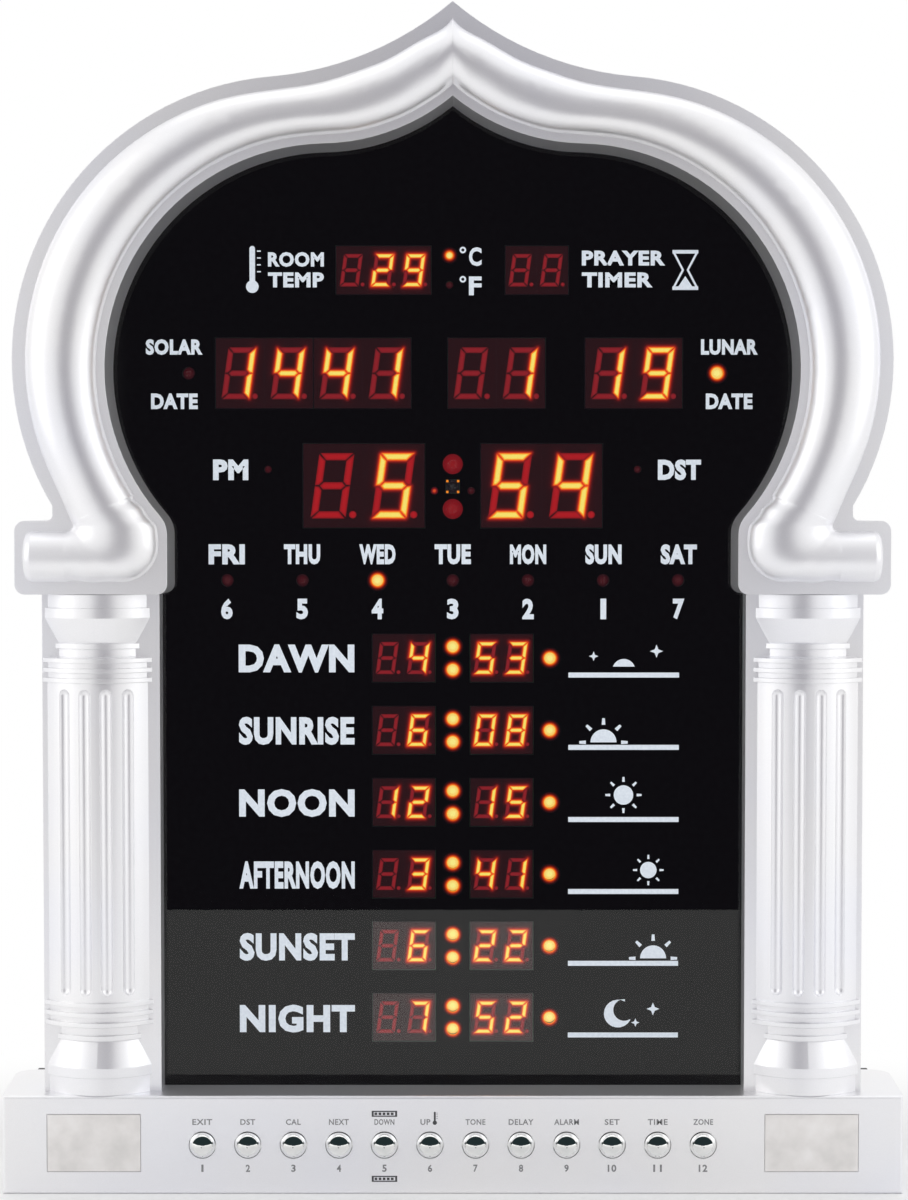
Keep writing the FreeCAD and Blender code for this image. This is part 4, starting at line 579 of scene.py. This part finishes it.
class Digits:
    """Lit segments, unlit segments with a painted dim glow, and faces with a painted glow, of one kind of
    module.
    """

    def __init__(self, pitch, width, height, stroke):
        self.pitch, self.width, self.height, self.stroke = pitch, width, height, stroke
        self.lit, self.unlit, self.faces = Sheet(), Sheet(), Sheet()

    def module(self, box, shown):
        """One module, whose digits show the characters."""
        left, right, low, high = box
        middle, height = middle_of(*box)
        bright = []
        for number, character in enumerate(shown):
            across = middle + (number - (len(shown) - 1) / 2) * self.pitch + DIGIT_SHIFT
            for key, outline in segments(self.width, self.height, self.stroke).items():
                placed = [(x + across, z + height) for x, z in outline]
                if key in LIT[character]:
                    bright.append(placed)
                light_bar(self.lit if key in LIT[character] else self.unlit, placed, self.stroke)
            self.decimal_point(across, height)
        step = (right - left) / len(shown)
        for number in range(len(shown)):
            self.face(left + number * step + CELL_GAP / 2, left + (number + 1) * step - CELL_GAP / 2,
                      low, high, bright)

    def decimal_point(self, across, height):
        """The unlit point at the lower right of a digit, with the same painted dim glow as the unlit
        segments.
        """
        radius = POINT_RADIUS * self.stroke
        corner = across + (self.width - SLANT * self.height) / 2
        outline = circle(corner + POINT_ASIDE * radius, height - self.height / 2 + radius, radius, 16)
        light_bar(self.unlit, outline, POINT_STROKE * self.stroke)

    def face(self, left, right, low, high, bright):
        """A fine grid with a painted glow, whose heat falls off from the lit segments; far from them it is
        a dim red.
        """
        columns, rows = round((right - left) / GRID), round((high - low) / GRID)
        start, sheet = len(self.faces.points), self.faces
        for row in range(rows + 1):
            z = low + (high - low) * row / rows
            for column in range(columns + 1):
                x = left + (right - left) * column / columns
                near = min((distance_to(outline, x, z) for outline in bright), default=math.inf)
                sheet.ring([(x, z)], PAINTED_GLOW_FACE, math.exp(-near / PAINTED_GLOW_REACH))
        for row in range(rows):
            for column in range(columns):
                first = start + row * (columns + 1) + column
                sheet.fill((first, first + 1, first + columns + 2, first + columns + 1))


def digit_group(node, shown, made, unlit_painted_glow_material):
    """Dresses each module of a node; shown has one string per module."""
    for box, characters in zip(islands(node), shown):
        made.module(box, characters)
    # the unlit segments and the faces carry painted glow; only the lit segments are lamps
    for part, sheet, material in (("lit", made.lit, LIT_SEGMENT), ("unlit", made.unlit, unlit_painted_glow_material),
                                  ("face", made.faces, MODULE_FACE_PAINTED_GLOW)):
        if sheet.points:
            link(f"{node}_{part}", sheet.mesh(f"{node}_{part}"), material)


def small_digits():
    return Digits(pitch=12.4, width=7.6, height=12.9, stroke=1.6)


PRAYER_TIMES = (" 453", " 608", "1215", " 341", " 622", " 752")
digit_group("digits_time", (" 5", "54"), Digits(pitch=24.2, width=14.0, height=26.0, stroke=2.9),
            UNLIT_LARGE_PAINTED_GLOW)
digit_group("digits_date", ("14", "41", " 1", "19"),
            Digits(pitch=19.5, width=11.1, height=20.6, stroke=2.3), UNLIT_SMALL_PAINTED_GLOW)
digit_group("digits_prayer", [part for shown in PRAYER_TIMES for part in (shown[:2], shown[2:])],
            small_digits(), UNLIT_SMALL_PAINTED_GLOW)
digit_group("digits_temperature", (" 29",), small_digits(), UNLIT_SMALL_PAINTED_GLOW)
digit_group("digits_countdown", ("  ",), small_digits(), UNLIT_SMALL_PAINTED_GLOW)


# ---------------------------------------------------------------- lamps

LAMP_FLANGE = 0.4           # how far a lamp's flange stands out past its lens
FLANGE_DEPTH = 1.0
LAMP_FRONT, LAMP_BACK = node_box("lamps_weekday")[2:4]
LENS_RINGS = 9
LENS_STEP = 10              # degrees of the dome from one ring to the next, from its rim on
LENS_HEAT_GAIN = 1.5        # how soon the heat rises from the rim to the middle
HALO_STEPS = 6
HALO_REACH = 2.1            # width of the painted glow round a lit lamp
HALO_UNDER = 0.3            # how far it goes on under the lens
HALO_FALL = 1.3             # power by which it falls off outwards
HALO_DEPTH = node_box("display_panel")[3] - 0.04    # just ahead of the clear panel's back and the film

# a lamp's heat at its rim and in its middle
# an off lamp is given a painted dim red glow, brighter in its middle
OFF_WITH_PAINTED_GLOW = (0.02, 0.22)
FAINT = (0.2, 0.5)
DIM = (0.34, 0.42)
ON = (0.80, 1.0)


def lens(sheet, x, z, radius, heat):
    """A domed lamp with its flange, hotter in the middle."""
    rim, middle = heat
    dome = []
    for number in range(LENS_RINGS):
        lean = math.radians(90 - LENS_STEP * number)
        depth = LAMP_FRONT + radius * (1 - math.cos(lean))
        share = min(1.0, LENS_HEAT_GAIN * (1 - math.sin(lean)))
        dome.append(sheet.ring(circle(x, z, radius * math.sin(lean)), depth, rim + (middle - rim) * share))
    sheet.bridge(*dome)
    sheet.fill(dome[-1])
    flange, flange_front = radius + LAMP_FLANGE, LAMP_BACK - FLANGE_DEPTH
    foot = [sheet.ring(circle(x, z, width), depth, rim)
            for width, depth in ((radius, flange_front), (flange, flange_front), (flange, LAMP_BACK))]
    sheet.bridge(*reversed(foot), dome[0])
    sheet.fill(reversed(foot[-1]))


def halo(sheet, x, z, radius):
    """A painted glow on the film round a lit lamp, where its light spreads."""
    rings = []
    for number in range(HALO_STEPS + 1):
        share = number / HALO_STEPS
        reach = radius - HALO_UNDER + HALO_REACH * (1 - share)
        rings.append(sheet.ring(circle(x, z, reach), HALO_DEPTH, share ** HALO_FALL))
    sheet.bridge(*rings)


def lamp_group(node, heat_of):
    """Dresses a node's lamps; heat_of gives a lamp's heat from its place among them."""
    lenses, painted_halos = Sheet(), Sheet()
    for number, (left, right, low, high) in enumerate(islands(node)):
        x, z = middle_of(left, right, low, high)
        radius = (right - left) / 2 - LAMP_FLANGE
        lens(lenses, x, z, radius, heat_of(number))
        # a lit lamp gets a painted glow round it on the film
        if heat_of(number) == ON:
            halo(painted_halos, x, z, radius)
    piece = link(f"{node}_lenses", lenses.mesh(f"{node}_lenses", True), LAMP_GLOW)
    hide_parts(node)
    if painted_halos.points:
        link(f"{node}_halos", painted_halos.mesh(f"{node}_halos", True), PAINTED_HALO_GLOW)


lamp_group("lamps_time_colon", lambda number: DIM)
lamp_group("lamps_weekday", lambda number: ON if number == 2 else OFF_WITH_PAINTED_GLOW)
lamp_group("lamps_calendar", lambda number: ON if number == 1 else OFF_WITH_PAINTED_GLOW)
lamp_group("lamps_status", lambda number: {0: ON, 4: FAINT}.get(number, OFF_WITH_PAINTED_GLOW))
lamp_group("lamps_prayer_colon", lambda number: ON)
lamp_group("lamps_prayer", lambda number: ON)


# ---------------------------------------------------------------- printing

LETTER_SPACING = 1.1
CURVE_STEPS = 3             # of the round parts of letters
ONE_WIDTH = 0.5             # a 1 on its own is this share of the width of other figures


class Print(Sheet):
    """Flat printed shapes in front of a surface at one depth."""

    def __init__(self, depth):
        super().__init__()
        self.depth = depth

    def shape(self, outline):
        self.fill(self.ring(outline, self.depth))

    def bar(self, left, right, low, high):
        self.shape(rectangle(left, right, low, high))

    def band(self, outer, inner):
        self.bridge(self.ring(outer, self.depth), self.ring(inner, self.depth))

    def word(self, text, left, right, low, high, weight=0.045):
        """A word in bold capitals, stretched to fill its box."""
        curve = bpy.data.curves.new(text, "FONT")
        curve.body = text
        curve.offset = weight
        curve.resolution_u = CURVE_STEPS
        curve.space_character = LETTER_SPACING
        outline = bpy.data.meshes.new_from_object(bpy.data.objects.new(text, curve))
        across = [vertex.co.x for vertex in outline.vertices]
        heights = [vertex.co.y for vertex in outline.vertices]
        wide = (right - left) / (max(across) - min(across))
        tall = (high - low) / (max(heights) - min(heights))
        start = len(self.points)
        self.ring([(left + (x - min(across)) * wide, low + (z - min(heights)) * tall)
                   for x, z in zip(across, heights)], self.depth)
        self.faces += [tuple(start + index for index in face.vertices) for face in outline.polygons]

    def centred(self, text, x, z, width, height, weight=0.045):
        """A word or a figure round its middle."""
        if text == "1":
            width *= ONE_WIDTH
        self.word(text, x - width / 2, x + width / 2, z - height / 2, z + height / 2, weight)

    def place(self, name, material, slot_name):
        link(name, self.mesh(name), material)


PRINT_LIFT = 0.02           # of a print off its surface
PANEL_FACE = -PRINT_LIFT
BASE_FACE = node_box("base_housing")[2] - PRINT_LIFT
PRAYER_ROWS = [middle_of(*box)[1] for box in islands("digits_prayer")[::2]]
ROW_HALF = 5.6              # from a row's middle to its name's top and foot, and to its sign's horizon


def prayer_names():
    """The six names left of the rows, all as wide and high as each other."""
    left, right = -85.1, -39.1
    print_on = Print(PANEL_FACE)
    for row, name in zip(PRAYER_ROWS, ("DAWN", "SUNRISE", "NOON", "AFTERNOON", "SUNSET", "NIGHT")):
        print_on.word(name, left, right, row - ROW_HALF, row + ROW_HALF, weight=0.05)
    print_on.place("print_prayer_names", PANEL_PRINT, "clear_acrylic")


SUN_RAYS = 8
RAY = ((1.35, -0.14), (1.85, -0.10), (1.85, 0.10), (1.35, 0.14))    # corners in radii, outwards and aside


def sun(print_on, x, z, radius, turn=FULL_TURN):
    """A sun with its rays, or as much of it as a turn from its right side takes in."""
    print_on.shape(circle(x, z, radius, 24, 0.0, turn))
    for number in range(SUN_RAYS):
        angle = number * FULL_TURN / SUN_RAYS
        if angle <= turn:
            cosine, sine = math.cos(angle), math.sin(angle)
            print_on.shape([(x + radius * (out * cosine - aside * sine),
                             z + radius * (out * sine + aside * cosine)) for out, aside in RAY])


def half_sun(print_on, x, z, radius):
    """The upper half of a sun, over the horizon."""
    sun(print_on, x, z, radius, math.pi)


def sky_glow(print_on, x, z, radius):
    """The low cap of light before sunrise."""
    print_on.shape(circle(x, z, radius, 13, math.radians(20), math.radians(160)))


def crescent(print_on, x, z, radius):
    """A moon open to the upper right: a strip between two arcs, with blunt ends."""
    count = 17
    outer = circle(x, z, radius, count, math.radians(60), math.radians(330))
    hollow = circle(x + 0.45 * radius, z + 0.26 * radius, 0.78 * radius, count,
                    math.radians(86), math.radians(304))
    for number in range(count - 1):
        print_on.shape([outer[number], outer[number + 1], hollow[number + 1], hollow[number]])


def star(print_on, x, z, radius):
    """A star of four points."""
    tips, notches = circle(x, z, radius, 4), circle(x, z, 0.4 * radius, 8)[1::2]
    print_on.shape([corner for pair in zip(tips, notches) for corner in pair])


# each row's sign: shapes, with their places from the horizon's middle, across and up, and their radii
DAY_SIGNS = (
    ((sky_glow, 0.0, 0.8, 4.6), (star, 13.0, 8.5, 2.6), (star, -12.0, 6.5, 1.9)),
    ((half_sun, -8.0, 1.0, 5.2),),
    ((sun, 0.0, 8.8, 3.9),),
    ((sun, 10.0, 7.6, 3.3),),
    ((half_sun, 12.0, 1.0, 5.2),),
    ((crescent, -2.0, 7.6, 5.6), (star, 12.0, 9.5, 2.6), (star, 5.0, 4.0, 1.7)),
)


def day_signs():
    """A sign of the time of day right of each row: a horizon with the sun or the moon."""
    left, right, thick = 46.0, 90.0, 2.0
    middle = (left + right) / 2
    print_on = Print(PANEL_FACE)
    for row, shapes in zip(PRAYER_ROWS, DAY_SIGNS):
        horizon = row - ROW_HALF
        print_on.bar(left, right, horizon - thick, horizon)
        for draw, across, up, radius in shapes:
            draw(print_on, middle + across, horizon + up, radius)
    print_on.place("print_day_signs", PANEL_PRINT, "clear_acrylic")


WEEKDAYS = (("FRI", "6"), ("THU", "5"), ("WED", "4"), ("TUE", "3"), ("MON", "2"), ("SUN", "1"),
            ("SAT", "7"))


def weekday_names():
    """A short name over each weekday lamp and the day's number below it."""
    print_on = Print(PANEL_FACE)
    for box, (name, number) in zip(islands("lamps_weekday"), WEEKDAYS):
        x, z = middle_of(*box)
        print_on.centred(name, x, z + 10.4, width=14.4, height=8.0, weight=0.055)
        print_on.centred(number, x, z - 11.3, width=4.6, height=8.2, weight=0.05)
    print_on.place("print_weekday_names", PANEL_PRINT, "clear_acrylic")


def calendar_names():
    """The kind of date over each calendar lamp and a common word below, a little to one side of it."""
    outwards = 1.03             # how much further out than the lamps they stand
    print_on = Print(PANEL_FACE)
    for box, name, shift in zip(islands("lamps_calendar"), ("SOLAR", "LUNAR"), (-2.25, 1.5)):
        x, z = middle_of(*box)
        print_on.centred(name, x * outwards + shift, z + 10.2, width=22.5, height=6.2, weight=0.05)
        print_on.centred("DATE", x * outwards + shift, z - 11.2, width=18.5, height=6.2, weight=0.05)
    print_on.place("print_calendar_names", PANEL_PRINT, "clear_acrylic")


def thermometer(print_on, x, low, high, width):
    """A tube with a round bulb and a few marks beside it, drawn as shares of the bulb's width."""
    bulb, tube = width / 2, 0.22 * width    # half widths
    mark_long, mark_half = 0.3 * width, 0.05 * width
    foot = low + bulb
    neck = math.asin(tube / bulb)
    neck_height = foot + bulb * math.cos(neck)
    print_on.shape(circle(x, foot, bulb, 20, math.pi / 2 + neck, 2.5 * math.pi - neck))
    print_on.shape([(x - tube, neck_height), (x + tube, neck_height)]
                   + circle(x, high - tube, tube, 9, 0.0, math.pi))
    for step in range(4):
        mark = foot + bulb + (high - foot - bulb) * (0.25 + 0.2 * step)
        start = x + 1.7 * tube
        print_on.bar(start, start + mark_long, mark - mark_half, mark + mark_half)


def hourglass(print_on, left, right, low, high):
    """Two plates with a glass between them, sand in its lower half."""
    plate, wall, waist = 1.4, 0.9, 0.5      # waist is half the width inside the glass's neck
    plate_over = 1.2                        # past the glass's inner face, on either side
    sand_inset, sand_low = 1.2, 2.4         # its foot in from that face, and its tip below the neck
    middle, centre = middle_of(left, right, low, high)
    print_on.bar(left, right, low, low + plate)
    print_on.bar(left, right, high - plate, high)
    for side in (-1, 1):
        outer = side * (right - middle - plate_over)
        for start, end in ((low + plate, centre), (high - plate, centre)):
            line = [(middle + outer, start), (middle + side * waist, end),
                    (middle + side * (waist + wall), end), (middle + outer + side * wall, start)]
            print_on.shape(line if (side > 0) == (start > end) else list(reversed(line)))
    heap = right - middle - plate_over - sand_inset
    print_on.shape([(middle - heap, low + plate), (middle + heap, low + plate),
                    (middle, centre - sand_low)])


def readout_marks():
    """Words and signs beside the temperature and the countdown."""
    lower_line = (356.7, 362.6)             # low and high of both readouts' lower words
    degree_x, degree_up, degree_radius, degree_hole = 4.0, 2.6, 1.3, 0.6
    print_on = Print(PANEL_FACE)
    thermometer(print_on, -79.2, low=354.5, high=373.0, width=5.0)
    print_on.word("ROOM", -73.0, -50.9, 364.8, 370.6)
    print_on.word("TEMP", -73.0, -50.9, *lower_line)
    for unit, z in (("C", 368.8), ("F", 357.3)):
        print_on.band(circle(degree_x, z + degree_up, degree_radius, 16),
                      circle(degree_x, z + degree_up, degree_hole, 16))
        print_on.centred(unit, 8.9, z, width=5.0, height=7.4, weight=0.035)
    print_on.word("PRAYER", 51.0, 83.9, 365.3, 371.2)
    print_on.word("TIMER", 51.0, 79.0, *lower_line)
    hourglass(print_on, left=86.8, right=97.0, low=355.7, high=371.4)
    print_on.place("print_readout_marks", PANEL_PRINT, "clear_acrylic")


def side_marks():
    """The words beside the lamps left and right of the time."""
    line = (280.6, 288.8)
    print_on = Print(PANEL_FACE)
    print_on.word("PM", -95.0, -81.0, *line, weight=0.055)
    print_on.word("DST", 81.3, 98.4, *line, weight=0.055)
    print_on.place("print_side_marks", PANEL_PRINT, "clear_acrylic")


BUTTON_WORDS = ("EXIT", "DST", "CAL", "NEXT", "DOWN", "UP", "TONE", "DELAY", "ALARM", "SET", "TIME", "ZONE")
LETTER_WIDTH = 1.95
FIGURE_WIDTH = 1.7


def badge(print_on, x, low):
    """A dark frame with five bars in it, in place of a small dark label."""
    print_on.band(rectangle(x - 5, x + 5, low, low + 2.4),
                  rectangle(x - 4.2, x + 4.2, low + 0.5, low + 1.9))
    pitch, width, foot, top = 1.6, 1.1, 0.7, 1.7
    for step in range(5):
        start = x - 3.9 + pitch * step
        print_on.bar(start, start + width, low + foot, low + top)


def button_marks():
    """A word above each button and its number below, with two dark badges and a thermometer."""
    words, badges = Print(BASE_FACE), Print(BASE_FACE)
    for number, word in enumerate(BUTTON_WORDS, start=1):
        left, right, _, _, low, high = node_box(f"button_{number:02d}")
        x, z = middle_of(left, right, low, high)
        shift = -1.8 if word == "UP" else 0.0
        words.centred(word, x + shift, z + 9.15, LETTER_WIDTH * len(word), height=2.3, weight=0.02)
        figures = str(number)
        words.centred(figures, x, z - 9.2, FIGURE_WIDTH * len(figures), height=2.9, weight=0.03)
        if word == "UP":
            thermometer(badges, x + 1.9, z + 8.0, z + 13.2, width=1.7)
        if word == "DOWN":
            badge(badges, x, z + 11.2)
            badge(badges, x, z - 14.6)
    words.place("print_button_words", BASE_PRINT, "silver_paint")
    badges.place("print_button_badges", BADGE_PRINT, "silver_paint")


def receiver_corners():
    """Painted red glints in the corners of the remote receiver's window."""
    size, heat = 0.9, 0.9
    sheet = Sheet()
    left, right, _, _, low, high = node_box("remote_receiver")
    for x, z in rectangle(left, right - size, low, high - size):
        sheet.fill(sheet.ring(rectangle(x, x + size, z, z + size), HALO_DEPTH, heat))
    link("receiver_corners", sheet.mesh("receiver_corners"), PAINTED_HALO_GLOW)


prayer_names()
day_signs()
weekday_names()
calendar_names()
readout_marks()
side_marks()
button_marks()
receiver_corners()
